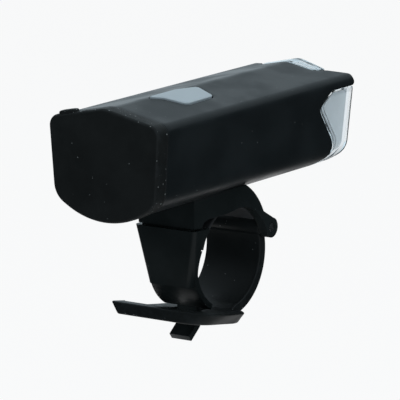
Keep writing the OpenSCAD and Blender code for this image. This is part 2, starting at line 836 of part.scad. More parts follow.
module strap_pin() {
    color("#a4a6a8") rod_y(pin_at, pin_d / 2, saddle_w - 0.4);
}

module strap_wrap() {
    color("#1e1f21") difference() {
        union() {
            bar_ring(strap_in, strap_r, -90, pin_a - 4, strap_w);
            rod_y(pin_at, eye_r, strap_w);
        }
        rod_y(pin_at, pin_d / 2 + pin_clear, strap_w + 2);
        box([-60, -30, -60], [flex_at[0] + flex_gap, 30, 0]);
    }
}

// Half width of the strap's free end at a station behind the flexing line
function tail_half(t) = strap_w / 2 + (pull_w - strap_w) / 2 * pow(t, 1.6);

// Side view of the free end: round under the bar, then straight, with a raised lip at the pull
function tail_side() =
    let (start = flex_at[0] - flex_gap,
         leave = 270 - tail_a,
         back = [-cos(tail_a), sin(tail_a)],
         low = meet(polar(strap_r, leave), back, [-pull_back, 0], [0, 1]),
         lip_top = low + [0, pull_h],
         lip_front = [-pull_back + pull_lip, lip_top[1] - 0.2],
         web = meet(polar(tail_in, leave), back, lip_front, [0.25, -1]))
    concat(arc([0, 0], strap_r, 270 + asin((start - 0.8) / strap_r), leave, 5),
           fillet(polar(strap_r, leave), low, lip_top, 0.6, 3),
           fillet(low, lip_top, lip_front, 0.8, 3),
           fillet(lip_top, lip_front, web, 0.6, 3),
           fillet(lip_front, web, polar(tail_in, leave), 0.6, 3),
           arc([0, 0], tail_in, leave, 270 + asin(start / tail_in), 5),
           [[start, flex_at[1] + 0.1]]);

function tail_plan() =
    let (start = flex_at[0],
         n = 10,
         half = [for (i = [0:n]) let (t = i / n) [start - t * (start + pull_back + 1), tail_half(t)]])
    concat(half, [for (i = [n:-1:0]) [half[i][0], -half[i][1]]]);

// Undercut ends of the pull, seen from behind
function tail_ends() =
    let (z = tail_side_low(),
         w = pull_w / 2,
         lean = pull_undercut / pull_h)
    [[-w, z + pull_h], [w, z + pull_h], [w - lean * (pull_h + 2.5), z - 2.5], [-w + lean * (pull_h + 2.5), z - 2.5]];

function tail_side_low() =
    meet(polar(strap_r, 270 - tail_a), [-cos(tail_a), sin(tail_a)], [-pull_back, 0], [0, 1])[1];

module strap_end() {
    color("#1e1f21") difference() {
        intersection() {
            across_y(tail_side(), -pull_w, pull_w);
            translate([0, 0, -60]) linear_extrude(60) polygon(tail_plan());
            translate([-40, 0, 0]) rotate([90, 0, 90]) linear_extrude(60) polygon(tail_ends());
        }
        box([-window_behind, -window_w / 2, -40], [-window_ahead, window_w / 2, 0]);
    }
}

body_shell();
front_lens();
lens_gasket();
reflector();
led_emitter();
led_board();
heat_sink();
battery_cell();
battery_cradle();
cell_tabs();
control_board();
board_screws();
usb_socket();
tact_switch();
indicator_led();
power_button();
rear_bulkhead();
bulkhead_screws();
usb_cap();
cap_tether();
saddle();
saddle_screws();
bar_pad();
rear_hook();
strap_pin();
strap_wrap();
strap_end();
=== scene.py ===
"""Looks of a bicycle headlight on a strap clamp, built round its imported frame.

Shapes are worked out in millimetres and written to the meshes in metres. +X is the beam, +Y the rider's
left and +Z up, and the origin is on the clamp's axis.
"""

import logging
import math
from dataclasses import dataclass, field
from enum import Enum
from typing import Callable, Sequence

import bmesh
import bpy
import numpy as np
from mathutils import Matrix, Vector
from mathutils.geometry import delaunay_2d_cdt


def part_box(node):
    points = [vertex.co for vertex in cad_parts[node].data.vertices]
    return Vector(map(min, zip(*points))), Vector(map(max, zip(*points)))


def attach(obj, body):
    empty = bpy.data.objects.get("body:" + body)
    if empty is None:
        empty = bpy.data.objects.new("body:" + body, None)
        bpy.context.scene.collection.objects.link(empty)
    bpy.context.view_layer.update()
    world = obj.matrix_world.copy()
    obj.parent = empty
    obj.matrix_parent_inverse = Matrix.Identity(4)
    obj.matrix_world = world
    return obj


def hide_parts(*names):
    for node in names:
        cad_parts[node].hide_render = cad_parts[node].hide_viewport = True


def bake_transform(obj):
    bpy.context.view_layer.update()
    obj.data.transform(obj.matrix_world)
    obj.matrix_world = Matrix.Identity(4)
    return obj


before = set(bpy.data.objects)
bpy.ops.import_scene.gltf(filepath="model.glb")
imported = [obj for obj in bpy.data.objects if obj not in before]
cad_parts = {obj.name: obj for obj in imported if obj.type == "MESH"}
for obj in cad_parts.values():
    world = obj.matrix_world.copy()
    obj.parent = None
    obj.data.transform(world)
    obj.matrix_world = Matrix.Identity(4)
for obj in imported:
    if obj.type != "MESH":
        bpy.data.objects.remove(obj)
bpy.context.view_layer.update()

MM = 0.001
# Points of a mesh that are closer than this, in metres, become one.
WELD = 2e-6
Array = np.ndarray
Colour = tuple[float, float, float]
Point = tuple[float, float, float]
Place = Callable[[Array, Array, Array], Array]
Thickness = Callable[[Array, Array], Array]
Node = bpy.types.Node
Socket = bpy.types.NodeSocket
Value = Socket | float | Sequence[float]
log = logging.getLogger("headlight")


class Body(Enum):
    """Bodies of the frame that a piece can ride on."""

    LAMP = "lamp"
    BUTTON = "button"
    CAP = "cap"
    STRAP = "strap"
    TAIL = "strap_tail"


def box_mm(node: str) -> tuple[Array, Array]:
    """Lowest and highest corner of a frame node.

    Args:
        node: Name of the node.

    Returns:
        The two corners in millimetres.
    """
    low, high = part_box(node)
    return np.array(low) / MM, np.array(high) / MM


def fillet(before: Array, corner: Array, after: Array, radius: float, count: int) -> tuple[Array, Array]:
    """Arc that rounds a corner: it touches both legs, and its centre lies on their bisector.

    Args:
        before: Point on the leg that comes in.
        corner: The sharp corner.
        after: Point on the leg that goes out.
        radius: Radius of the arc.
        count: Number of points.

    Returns:
        Points of the arc, and unit vectors from its centre to them.
    """
    before, corner, after = (np.asarray(p, float) for p in (before, corner, after))
    u = (before - corner) / np.linalg.norm(before - corner)
    v = (after - corner) / np.linalg.norm(after - corner)
    half = math.acos(np.clip(u @ v, -1, 1)) / 2
    centre = corner + (u + v) / np.linalg.norm(u + v) * radius / math.sin(half)
    first = corner + u * radius / math.tan(half) - centre
    last = corner + v * radius / math.tan(half) - centre
    start = math.atan2(first[1], first[0])
    turn = (math.atan2(last[1], last[0]) - start + math.pi) % (2 * math.pi) - math.pi
    angle = start + turn * np.linspace(0, 1, count)
    spokes = np.stack([np.cos(angle), np.sin(angle)], 1)
    return centre + radius * spokes, spokes


def rounded_chain(corners: Sequence[Sequence[float]], radii: Sequence[float], count: int = 10) -> Array:
    """Open outline through corners, with each inner corner rounded by an arc of its own radius.

    Args:
        corners: Corners of the outline in order.
        radii: Radius of each inner corner.
        count: Points on each arc.

    Returns:
        Points of the outline.
    """
    pts = np.asarray(corners, float)
    arcs = [fillet(pts[i - 1], pts[i], pts[i + 1], radii[i - 1], count)[0] for i in range(1, len(pts) - 1)]
    return np.concatenate([pts[:1], *arcs, pts[-1:]])


def rounded_loop(corners: Sequence[Sequence[float]], radii: float | Sequence[float], count: int = 8) -> Array:
    """Closed outline with its corners rounded by arcs.

    Args:
        corners: Corners of the outline in order.
        radii: One radius, or one for each corner.
        count: Points on each arc.

    Returns:
        Points of the outline, without a repeat of the first.
    """
    pts = np.asarray(corners, float)
    k = len(pts)
    each = np.broadcast_to(radii, k)
    return np.concatenate([fillet(pts[i - 1], pts[i], pts[(i + 1) % k], each[i], count)[0] for i in range(k)])


def resample(line: Array, step: float, closed: bool = False) -> Array:
    """Points at even distances along a line, by linear interpolation over its length.

    Args:
        line: Points of the line, one row each.
        step: Longest distance between two new points.
        closed: Whether the last point joins the first.

    Returns:
        The new points, without a repeat of the first one on a closed line.
    """
    pts = np.concatenate([line, line[:1]]) if closed else line
    along = np.concatenate([[0], np.cumsum(np.linalg.norm(np.diff(pts, axis=0), axis=1))])
    count = max(2, math.ceil(along[-1] / step))
    at = np.linspace(0, along[-1], count + 1)
    even = np.stack([np.interp(at, along, pts[:, i]) for i in range(pts.shape[1])], 1)
    return even[:-1] if closed else even


def inset(line: Array, distance: float, closed: bool) -> Array:
    """Line moved to its left, along normals from central differences.

    Args:
        line: Points of the line, one row each.
        distance: How far it moves.
        closed: Whether the last point joins the first.

    Returns:
        The moved points.
    """
    if closed:
        tangent = np.roll(line, -1, axis=0) - np.roll(line, 1, axis=0)
    else:
        tangent = np.gradient(line, axis=0)
    tangent = tangent / np.linalg.norm(tangent, axis=1, keepdims=True)
    return line + distance * np.stack([-tangent[:, 1], tangent[:, 0]], 1)


def inside_left(loop: Array) -> Array:
    """Closed loop in the order that has its inside on the left, by the sign of its area.

    Args:
        loop: Points of the loop.

    Returns:
        The same points, in that order.
    """
    ahead = np.roll(loop, -1, axis=0)
    area = np.sum(loop[:, 0] * ahead[:, 1] - loop[:, 1] * ahead[:, 0])
    return loop if area > 0 else loop[::-1]


def smooth(value: Array, low: float, high: float) -> Array:
    """Value carried from 0 at the low end to 1 at the high end, by a cubic that is level at both."""
    share = np.clip((value - low) / (high - low), 0, 1)
    return share * share * (3 - 2 * share)


def swollen(wave: Array, power: float) -> Array:
    """Sine or cosine raised to a power with its sign kept, as superellipses have it."""
    return np.sign(wave) * np.abs(wave) ** power


def inside(points: Array, polygon: Array) -> Array:
    """Whether points lie in a closed polygon: an odd number of its edges lies to their right.

    Args:
        points: The points, one row each.
        polygon: Corners of the polygon in order.

    Returns:
        True for each point inside.
    """
    a = polygon
    b = np.roll(polygon, -1, axis=0)
    x = points[:, :1]
    y = points[:, 1:]
    spans = (a[:, 1] > y) != (b[:, 1] > y)
    rise = np.where(b[:, 1] == a[:, 1], 1e-12, b[:, 1] - a[:, 1])
    crossing = a[:, 0] + (y - a[:, 1]) * (b[:, 0] - a[:, 0]) / rise
    return (spans & (x < crossing)).sum(1) % 2 == 1


@dataclass
class Patch:
    """Part of a mesh: points in millimetres, faces that index them and how near each point is to an edge,
    which on the lens stands for the depth of its painted shade.
    """

    points: Array
    faces: list[Array]
    edge: Array

    def joined(self, *others: "Patch") -> "Patch":
        """This patch and others as one.

        Args:
            others: The other patches.

        Returns:
            The joined patch.
        """
        every = [self, *others]
        start = np.cumsum([0] + [len(p.points) for p in every])
        points = np.concatenate([p.points for p in every])
        faces = [f + n for p, n in zip(every, start) for f in p.faces]
        return Patch(points, faces, np.concatenate([p.edge for p in every]))

    def to_object(self, name: str, crease: float = 38.0) -> bpy.types.Object:
        """Puts the patch into a mesh, merges its doubles and turns its faces outwards.

        Args:
            name: Name of the new piece.
            crease: Angle in degrees above which an edge stays sharp.

        Returns:
            The new object, at the origin.
        """
        mesh = bpy.data.meshes.new(name)
        mesh.from_pydata((self.points * MM).tolist(), [], [f for part in self.faces for f in part.tolist()])
        mesh.attributes.new("edge", "FLOAT", "POINT").data.foreach_set("value", self.edge.astype(np.float32))
        work = bmesh.new()
        work.from_mesh(mesh)
        bmesh.ops.remove_doubles(work, verts=work.verts, dist=WELD)
        bmesh.ops.dissolve_degenerate(work, edges=work.edges, dist=1e-7)
        bmesh.ops.recalc_face_normals(work, faces=work.faces)
        if work.calc_volume(signed=True) < 0:
            bmesh.ops.reverse_faces(work, faces=work.faces)
        work.to_mesh(mesh)
        work.free()
        mesh.shade_smooth()
        mesh.set_sharp_from_angle(angle=math.radians(crease))
        return link(name, mesh)


def link(name: str, mesh: bpy.types.Mesh) -> bpy.types.Object:
    """New object of a mesh, in the scene.

    Args:
        name: Name of the object.
        mesh: Its mesh.

    Returns:
        The object.
    """
    obj = bpy.data.objects.new(name, mesh)
    bpy.context.scene.collection.objects.link(obj)
    return obj


def grid(points: Array, edge: Array | None = None, around: bool = True) -> Patch:
    """Quads between the rows and columns of a grid of points.

    Args:
        points: Array of rows, columns and three coordinates.
        edge: How near each row, or each point, is to an edge, from 0 to 1.
        around: Whether the last column joins the first.

    Returns:
        The patch.
    """
    rows, cols = points.shape[:2]
    index = np.arange(rows * cols).reshape(rows, cols)
    right = np.roll(index, -1, axis=1)
    last = cols if around else cols - 1
    quads = np.stack([index[:-1], right[:-1], right[1:], index[1:]], -1)[:, :last].reshape(-1, 4)
    near = np.zeros(rows) if edge is None else np.asarray(edge, float)
    near = near[:, None] if near.ndim == 1 else near
    return Patch(points.reshape(-1, 3), [quads], np.broadcast_to(near, (rows, cols)).ravel())


def round_edge(radius: float, steps: int = 4) -> Array:
    """Quarter circle from a face to a wall, as rows of (distance inside the edge, depth below the face)."""
    a = np.linspace(0, math.pi / 2, steps + 1)
    return np.stack([radius * (1 - np.sin(a)), radius * (1 - np.cos(a))], 1)


@dataclass
class CutSheet:
    """Flat pattern with openings that is wrapped into a wall with rounded edges.

    Each rim is a line with the material on its left. The pattern's face is triangulated up to where the rims'
    rounding starts, and a round profile is carried along each rim from the outer face to the inner one.
    """

    rims: list[tuple[Array, bool]]
    lattice: Array
    radius: float

    def wrap(self, place: Place, thickness: Thickness) -> Patch:
        """Makes the wall.

        Args:
            place: Gives points from the pattern's two coordinates and a depth.
            thickness: Gives the wall's thickness at the pattern's two coordinates.

        Returns:
            The closed wall.
        """
        lines = [inset(line, self.radius, closed) for line, closed in self.rims]
        chains = [line for line, (_, closed) in zip(lines, self.rims) if not closed]
        loops = [line for line, (_, closed) in zip(lines, self.rims) if closed]
        border, holes = (np.concatenate(chains), loops) if chains else (loops[0], loops[1:])
        flat, triangles = self._triangles(border, holes)
        a, b = flat.T
        none = np.zeros(len(flat))
        outer = Patch(place(a, b, none), [triangles], none)
        inner = Patch(place(a, b, thickness(a, b)), [triangles[:, ::-1]], none)
        return outer.joined(inner, *[self._rim(line, closed, place, thickness) for line, closed in self.rims])

    def _triangles(self, border: Array, holes: list[Array]) -> tuple[Array, Array]:
        """Triangles of the face: those of a constrained net whose middles lie in the border and in no hole.

        Lattice points that are nearer to a rim than its rounding are left out.

        Args:
            border: Closed outline of the face.
            holes: Closed outlines of its openings.

        Returns:
            The net's points, and rows of three that index them.
        """
        loops = [border, *holes]
        fixed = np.concatenate(loops)
        inner = self.lattice[self._within(self.lattice, border, holes)]
        # Distances are worked out for a part of the lattice at a time, to keep the table small.
        gaps = [np.min(np.sum((part[:, None] - fixed) ** 2, 2), 1) for part in np.array_split(inner, 20)]
        inner = inner[np.concatenate(gaps) > self.radius ** 2]
        points = np.concatenate([fixed, inner])
        starts = np.cumsum([0] + [len(loop) for loop in loops])
        links = [np.stack([at, np.roll(at, -1)], 1) for at in map(np.arange, starts[:-1], starts[1:])]
        net = delaunay_2d_cdt(points.tolist(), np.concatenate(links).tolist(), [], 0, 1e-6)
        flat = np.array(net[0])
        triangles = np.array(net[2])
        return flat, triangles[self._within(flat[triangles].mean(1), border, holes)]

    @staticmethod
    def _within(points: Array, border: Array, holes: list[Array]) -> Array:
        """Whether points lie in the border and in no hole."""
        return inside(points, border) & ~np.any([inside(points, h) for h in holes] or [[False]], axis=0)

    def _rim(self, line: Array, closed: bool, place: Place, thickness: Thickness) -> Patch:
        """Round edge along one line, from the outer face over the wall to the inner face.

        Args:
            line: The rim, with the material on its left.
            closed: Whether the rim is a loop.
            place: Gives points from the pattern's two coordinates and a depth.
            thickness: Gives the wall's thickness at the pattern's two coordinates.

        Returns:
            The edge.
        """
        profile = round_edge(self.radius)
        rows = [inset(line, d, closed) for d in profile[:, 0]]
        outer = [place(*row.T, np.full(len(line), h)) for row, h in zip(rows, profile[:, 1])]
        inner = [place(*row.T, thickness(*row.T) - h) for row, h in zip(rows, profile[:, 1])]
        near = np.linspace(0, 1, len(rows))
        return grid(np.array(outer + inner[::-1]), np.concatenate([near, near[::-1]]), closed)


@dataclass(frozen=True)
class LampSection:
    """Outline of the lamp across its beam: crest, round shoulders, leaning sides and a round belly."""

    width: float = 33.0
    shoulder: float = 24.8
    rise: float = 3.3
    taper: float = 4.0
    belly_radius: float = 22.7
    belly_angle: float = 30.0
    shoulder_radius: float = 2.7
    bilge_radius: float = 5.5
    crest_radius: float = 6.0

    @property
    def roof_angle(self) -> float:
        """Slope of the roof in radians."""
        return math.atan(self.rise / (self.width / 2))

    def half(self, depth: float = 0.0) -> tuple[Array, Array]:
        """One side of the outline, from the belly's middle to the crest.

        Every face moves in by the depth, and the corners between them are rounded again with radii that
        shrink by it, so that the points of two depths belong to each other.

        Args:
            depth: Distance inside the outer surface.

        Returns:
            Points (distance from the middle, height above the belly) and outward normals.
        """
        slope, lean, reach = self.roof_angle, math.radians(self.taper), math.radians(self.belly_angle)
        roof = np.array([math.sin(slope), math.cos(slope)])
        side = np.array([math.cos(lean), -math.sin(lean)])
        crest = np.array([0, self.shoulder + self.rise - depth / math.cos(slope)])
        shoulder = np.array([self.width / 2, self.shoulder]) - depth * (roof + side) / (1 + roof @ side)
        radius = self.belly_radius - depth
        belly_end = np.array([radius * math.sin(reach), self.belly_radius - radius * math.cos(reach)])
        down = np.array([-math.sin(lean), -math.cos(lean)])
        out = np.array([math.cos(reach), math.sin(reach)])
        bilge = shoulder + down * np.linalg.solve(np.stack([down, -out], 1), belly_end - shoulder)[0]
        angle = np.linspace(-math.pi / 2, -math.pi / 2 + reach, 18)
        spokes = np.stack([np.cos(angle), np.sin(angle)], 1)
        belly = np.array([0, self.belly_radius]) + radius * spokes
        low, low_out = fillet(belly_end, bilge, shoulder, max(self.bilge_radius - depth, 1.0), 14)
        high, high_out = fillet(bilge, shoulder, crest, max(self.shoulder_radius - depth, 0.4), 16)
        top, top_out = fillet(shoulder, crest, shoulder * [-1, 1], self.crest_radius, 13)
        points = np.concatenate([belly, low, high, top[:7]])
        return points, np.concatenate([spokes, low_out, high_out, top_out[:7]])

    def loop(self, depth: float = 0.0) -> tuple[Array, Array]:
        """Closed outline from the belly's middle up the near side, -Y, over the crest and down again."""
        points, normals = (np.concatenate([half * [-1, 1], half[-2::-1]]) for half in self.half(depth))
        return points, normals


@dataclass
class LampSkin:
    """The lamp's outer surface unrolled: one coordinate runs along the beam, the other round the section."""

    section: LampSection
    belly_z: float

    def __post_init__(self) -> None:
        """Measures the distance round the outline."""
        self.line, self.out = self.section.loop()
        steps = np.linalg.norm(np.diff(self.line, axis=0), axis=1)
        self.along = np.concatenate([[0], np.cumsum(steps)])
        self.girth = self.along[-1]
        self.crest = self.girth / 2

    def place(self, x: Array, s: Array, depth: Array) -> Array:
        """Points on the lamp's surface or below it, along its normals.

        Args:
            x: Distance along the beam.
            s: Distance round the section.
            depth: Depth below the surface.

        Returns:
            The points.
        """
        y, z, ny, nz = (np.interp(s, self.along, c) for c in (*self.line.T, *self.out.T))
        size = np.hypot(ny, nz)
        return np.stack([x, y - depth * ny / size, self.belly_z + z - depth * nz / size], -1)

    def at_height(self, height: float) -> float:
        """Distance round the near side to a height above the belly."""
        near = self.along <= self.crest + 1e-6
        return float(np.interp(height, self.line[near, 1], self.along[near]))

    def at_width(self, width: float) -> float:
        """Distance round the near side to a place on the roof.

        Args:
            width: Distance of that place from the crest's plane.

        Returns:
            The distance.
        """
        start = int(np.argmin(self.line[:, 0]))
        roof = slice(start, len(self.line) // 2 + 1)
        return float(np.interp(-width, self.line[roof, 0], self.along[roof]))

    def ring(self, s: Array, depth: Array) -> Array:
        """Section points, each on an outline that is rounded for its own depth.

        Args:
            s: Distances round the outer outline.
            depth: Distance of each point inside it.

        Returns:
            Points (place across the lamp, height above the belly).
        """
        spot = np.interp(s, self.along, np.arange(len(self.along)))
        points = np.empty((len(s), 2))
        for d in np.unique(depth):
            line = self.section.loop(float(d))[0]
            pick = depth == d
            points[pick] = np.stack([np.interp(spot[pick], np.arange(len(line)), c) for c in line.T], 1)
        return points

    def stations(self, longest: float) -> Array:
        """Distances round the section: every point of the outline, with long straight stretches divided.

        Args:
            longest: Longest distance between two of them.

        Returns:
            The distances in order.
        """
        parts = np.maximum(1, np.ceil(np.diff(self.along) / longest)).astype(int)
        return np.concatenate([np.linspace(a, b, n, endpoint=False)
                               for a, b, n in zip(self.along[:-1], self.along[1:], parts)] + [[self.girth]])


class Effect(Enum):
    """Effects that several finishes share, each a shader node group."""

    GRAIN = "moulded_grain"
    DUST = "settled_dust"
    WEAR = "rubbed_edges"
    BRUSHED = "drawn_lines"


class NodeMaker:
    """Short ways to add and link the nodes of one tree."""

    def __init__(self, tree: bpy.types.NodeTree) -> None:
        """Keeps the tree."""
        self.tree = tree

    @classmethod
    def fresh(cls, owner: bpy.types.Material | bpy.types.World) -> "NodeMaker":
        """Maker for a material or a world, whose nodes are cleared first.

        Args:
            owner: The material or world.

        Returns:
            The maker.
        """
        owner.use_nodes = True
        owner.node_tree.nodes.clear()
        return cls(owner.node_tree)

    def add(self, kind: str, **settings: object) -> Node:
        """New node of the tree.

        Args:
            kind: Blender's name for the node.
            settings: Its settings by name.

        Returns:
            The node.
        """
        node = self.tree.nodes.new(kind)
        for name, setting in settings.items():
            setattr(node, name, setting)
        return node

    def join(self, source: Socket, target: Socket) -> None:
        """Links an output to an input."""
        self.tree.links.new(source, target)

    def put(self, target: Socket, value: Value) -> None:
        """Links an output to an input, or sets the input to a plain value.

        Args:
            target: The input.
            value: An output, or a plain value.
        """
        if isinstance(value, Socket):
            self.join(value, target)
        else:
            target.default_value = value

    def fill(self, node: Node, values: dict[str | int, Value]) -> Node:
        """Puts values into a node's inputs.

        Args:
            node: The node.
            values: Values by the names or places of the inputs.

        Returns:
            The node.
        """
        for key, value in values.items():
            self.put(node.inputs[key], value)
        return node

    def here(self) -> Socket:
        """Place on the object, in metres."""
        return self.add("ShaderNodeTexCoord").outputs["Object"]

    def edge(self) -> Socket:
        """The piece's edge attribute."""
        return self.add("ShaderNodeAttribute", attribute_name="edge").outputs["Fac"]

    def math(self, operation: str, a: Value, b: Value) -> Socket:
        """Result of one operation on two values."""
        return self.fill(self.add("ShaderNodeMath", operation=operation), {0: a, 1: b}).outputs[0]

    def ramp(self, value: Value, low: float, high: float, to_low: Value = 0.0,
             to_high: Value = 1.0) -> Socket:
        """Value carried smoothly from one range to another and held at its ends.

        Args:
            value: What is carried.
            low: Low end of the first range.
            high: High end of the first range.
            to_low: Low end of the second range.
            to_high: High end of the second range.

        Returns:
            The result.
        """
        node = self.add("ShaderNodeMapRange", interpolation_type="SMOOTHSTEP")
        given = {"Value": value, "From Min": low, "From Max": high, "To Min": to_low, "To Max": to_high}
        return self.fill(node, given).outputs["Result"]

    def blend(self, factor: Value, a: Value, b: Value) -> Socket:
        """Mix of two colours, for which the node has inputs 6 and 7 and output 2."""
        node = self.add("ShaderNodeMix", data_type="RGBA")
        return self.fill(node, {0: factor, 6: a, 7: b}).outputs[2]

    def noise(self, at: Value, scale: Value, detail: float, roughness: float = 0.5) -> Socket:
        """Value of a noise texture.

        Args:
            at: Place at which it is read.
            scale: How many of its waves a metre holds.
            detail: How many finer layers it has.
            roughness: How much the finer layers count.

        Returns:
            The value, from 0 to 1.
        """
        given = {"Vector": at, "Scale": scale, "Detail": detail, "Roughness": roughness}
        return self.fill(self.add("ShaderNodeTexNoise"), given).outputs["Fac"]


class EffectLibrary:
    """Builds each shared effect once, on Object coordinates in metres."""

    def group(self, effect: Effect) -> bpy.types.NodeTree:
        """Node group of an effect, built when it is first asked for.

        Args:
            effect: The effect.

        Returns:
            Its node group.
        """
        found = bpy.data.node_groups.get(effect.value)
        if found:
            return found
        tree = bpy.data.node_groups.new(effect.value, "ShaderNodeTree")
        build = {Effect.GRAIN: self._grain, Effect.DUST: self._dust,
                 Effect.WEAR: self._wear, Effect.BRUSHED: self._brushed}[effect]
        build(NodeMaker(tree))
        return tree

    @staticmethod
    def _sockets(make: NodeMaker, inputs: dict[str, float], outputs: Sequence[str]) -> tuple[object, object]:
        """Gives a group its named sockets.

        Args:
            make: Maker of the group's nodes.
            inputs: Names of the inputs, with their plain values.
            outputs: Names of the outputs.

        Returns:
            Sockets that bring the inputs in, and sockets that take the outputs.
        """
        for name, value in inputs.items():
            socket = make.tree.interface.new_socket(name, in_out="INPUT", socket_type="NodeSocketFloat")
            socket.default_value = value
        for name in outputs:
            make.tree.interface.new_socket(name, in_out="OUTPUT", socket_type="NodeSocketFloat")
        return make.add("NodeGroupInput").outputs, make.add("NodeGroupOutput").inputs

    def _grain(self, make: NodeMaker) -> None:
        """Fine moulded grain and a slow change of tone: two noises of very different scale.

        Args:
            make: Maker of the group's nodes.
        """
        given, out = self._sockets(make, {"Scale": 2500.0, "Drift Scale": 60.0}, ("Height", "Tone"))
        at = make.here()
        make.join(make.ramp(make.noise(at, given["Scale"], 2.0, 0.6), 0.3, 0.7), out["Height"])
        make.join(make.ramp(make.noise(at, given["Drift Scale"], 4.0), 0.3, 0.7), out["Tone"])

    def _dust(self, make: NodeMaker) -> None:
        """Specks in a few cells of a cell texture, and a thin film where a slow noise is high.

        Args:
            make: Maker of the group's nodes.
        """
        given, out = self._sockets(make, {"Scale": 1150.0, "Share": 0.1, "Size": 0.17}, ("Specks", "Film"))
        at = make.here()
        cells = make.fill(make.add("ShaderNodeTexVoronoi"), {"Vector": at, "Scale": given["Scale"]})
        draws = make.fill(make.add("ShaderNodeSeparateColor"), {0: cells.outputs["Color"]}).outputs
        chosen = make.math("LESS_THAN", draws[0], given["Share"])
        size = make.math("MULTIPLY", draws[1], given["Size"])
        spot = make.math("LESS_THAN", cells.outputs["Distance"], size)
        make.join(make.math("MULTIPLY", chosen, spot), out["Specks"])
        make.join(make.ramp(make.noise(at, 130.0, 5.0, 0.6), 0.45, 0.75), out["Film"])

    def _wear(self, make: NodeMaker) -> None:
        """Rubbed edges: the piece's edge attribute where a noise breaks it up.

        Args:
            make: Maker of the group's nodes.
        """
        given, out = self._sockets(make, {"Edge": 0.0, "Scale": 400.0}, ("Mask",))
        broken = make.ramp(make.noise(make.here(), given["Scale"], 4.0, 0.65), 0.42, 0.66)
        make.join(make.math("MULTIPLY", make.ramp(given["Edge"], 0.3, 1.0), broken), out["Mask"])

    def _brushed(self, make: NodeMaker) -> None:
        """Drawn lines of metal: a noise that is stretched along X.

        Args:
            make: Maker of the group's nodes.
        """
        given, out = self._sockets(make, {"Scale": 1500.0}, ("Height", "Tone"))
        stretch = make.fill(make.add("ShaderNodeMapping"), {"Vector": make.here(), "Scale": (0.04, 1.0, 1.0)})
        lines = make.noise(stretch.outputs["Vector"], given["Scale"], 3.0)
        make.join(lines, out["Height"])
        make.join(make.ramp(lines, 0.3, 0.7), out["Tone"])


EFFECTS = EffectLibrary()


@dataclass(frozen=True)
class Finish:
    """Opaque finish: a colour with a slow drift, grain or drawn lines, dust and rubbed edges."""

    slot: str
    colour: Colour
    roughness: float
    metallic: float = 0.0
    specular: float = 0.5
    grain_mm: float = 0.3
    grain_depth_mm: float = 0.01
    drift: float = 0.2
    drift_mm: float = 14.0
    rough_drift: float = 0.06
    dust: float = 0.0
    film: float = 0.0
    speck: float = 0.17
    wear: float = 0.0
    coat: float = 0.0
    brushed: bool = False
    dust_colour: Colour = (0.35, 0.35, 0.34)
    dust_cover: float = 0.6
    dust_roughness: float = 0.3
    worn_colour: Colour = (0.12, 0.13, 0.14)

    def material(self) -> bpy.types.Material:
        """The finish as a material, built when it is first asked for.

        Returns:
            The material.
        """
        name = f"{self.slot}_finish"
        found = bpy.data.materials.get(name)
        if found:
            return found
        mat = bpy.data.materials.new(name)
        make = NodeMaker.fresh(mat)
        shader = make.add("ShaderNodeBsdfPrincipled")
        make.fill(make.add("ShaderNodeOutputMaterial"), {"Surface": shader.outputs[0]})
        self.dress(make, shader)
        mat.diffuse_color = (*self.colour, 1.0)
        return mat

    def dress(self, make: NodeMaker, shader: Node) -> None:
        """Fills the shader's inputs: plain values directly, and what changes over the surface by effects.

        Args:
            make: Maker of the material's nodes.
            shader: The material's main shader.
        """
        make.fill(shader, {"Metallic": self.metallic, "Specular IOR Level": self.specular,
                           "Coat Weight": self.coat})
        surface = self.effect(make, Effect.BRUSHED if self.brushed else Effect.GRAIN)
        make.fill(surface, {"Scale": 1.0 / (self.grain_mm * MM)})
        if not self.brushed:
            make.fill(surface, {"Drift Scale": 1.0 / (self.drift_mm * MM)})
        tone = surface.outputs["Tone"]
        dark, light = (tuple(c * k for c in self.colour) + (1.0,) for k in (1 - self.drift, 1 + self.drift))
        colour = make.blend(tone, dark, light)
        least, most = self.roughness - self.rough_drift, self.roughness + self.rough_drift
        rough = make.ramp(tone, 0.0, 1.0, least, most)
        if self.wear:
            worn = make.fill(self.effect(make, Effect.WEAR), {"Edge": make.edge()})
            share = make.math("MULTIPLY", worn.outputs["Mask"], self.wear)
            colour = make.blend(share, colour, (*self.worn_colour, 1.0))
        if self.dust or self.film:
            dust = make.fill(self.effect(make, Effect.DUST), {"Share": self.dust, "Size": self.speck})
            film = make.math("MULTIPLY", dust.outputs["Film"], self.film)
            specks = make.math("MULTIPLY", dust.outputs["Specks"], self.dust_cover)
            cover = make.math("MAXIMUM", specks, film)
            colour = make.blend(cover, colour, (*self.dust_colour, 1.0))
            rough = make.math("ADD", rough, make.math("MULTIPLY", cover, self.dust_roughness))
        make.fill(shader, {"Base Color": colour, "Roughness": rough})
        if self.grain_depth_mm:
            bump = make.fill(make.add("ShaderNodeBump"), {
                "Strength": 1.0, "Distance": self.grain_depth_mm * MM, "Height": surface.outputs["Height"]})
            make.fill(shader, {"Normal": bump.outputs["Normal"]})

    @staticmethod
    def effect(make: NodeMaker, effect: Effect) -> Node:
        """A shared effect, placed in a material.

        Args:
            make: Maker of the material's nodes.
            effect: The effect.

        Returns:
            Its node.
        """
        node = make.add("ShaderNodeGroup")
        node.node_tree = EFFECTS.group(effect)
        return node


@dataclass(frozen=True)
class ClearFinish(Finish):
    """Clear moulded plastic with painted shade: deeper in tone where the piece's edge attribute is high."""

    ior: float = 1.26
    # Colour of the painted shade that the clear base is mixed towards.
    shade_colour: Colour = (0.38, 0.43, 0.46)

    def dress(self, make: NodeMaker, shader: Node) -> None:
        """Fills the shader's inputs for clear plastic.

        Args:
            make: Maker of the material's nodes.
            shader: The material's main shader.
        """
        super().dress(make, shader)
        clear = shader.inputs["Base Color"].links[0].from_socket
        # Painted shade: the clear base is mixed towards the shade colour by the edge attribute.
        shaded = make.blend(make.edge(), clear, (*self.shade_colour, 1.0))
        make.fill(shader, {"Base Color": shaded, "Transmission Weight": 1.0, "IOR": self.ior})


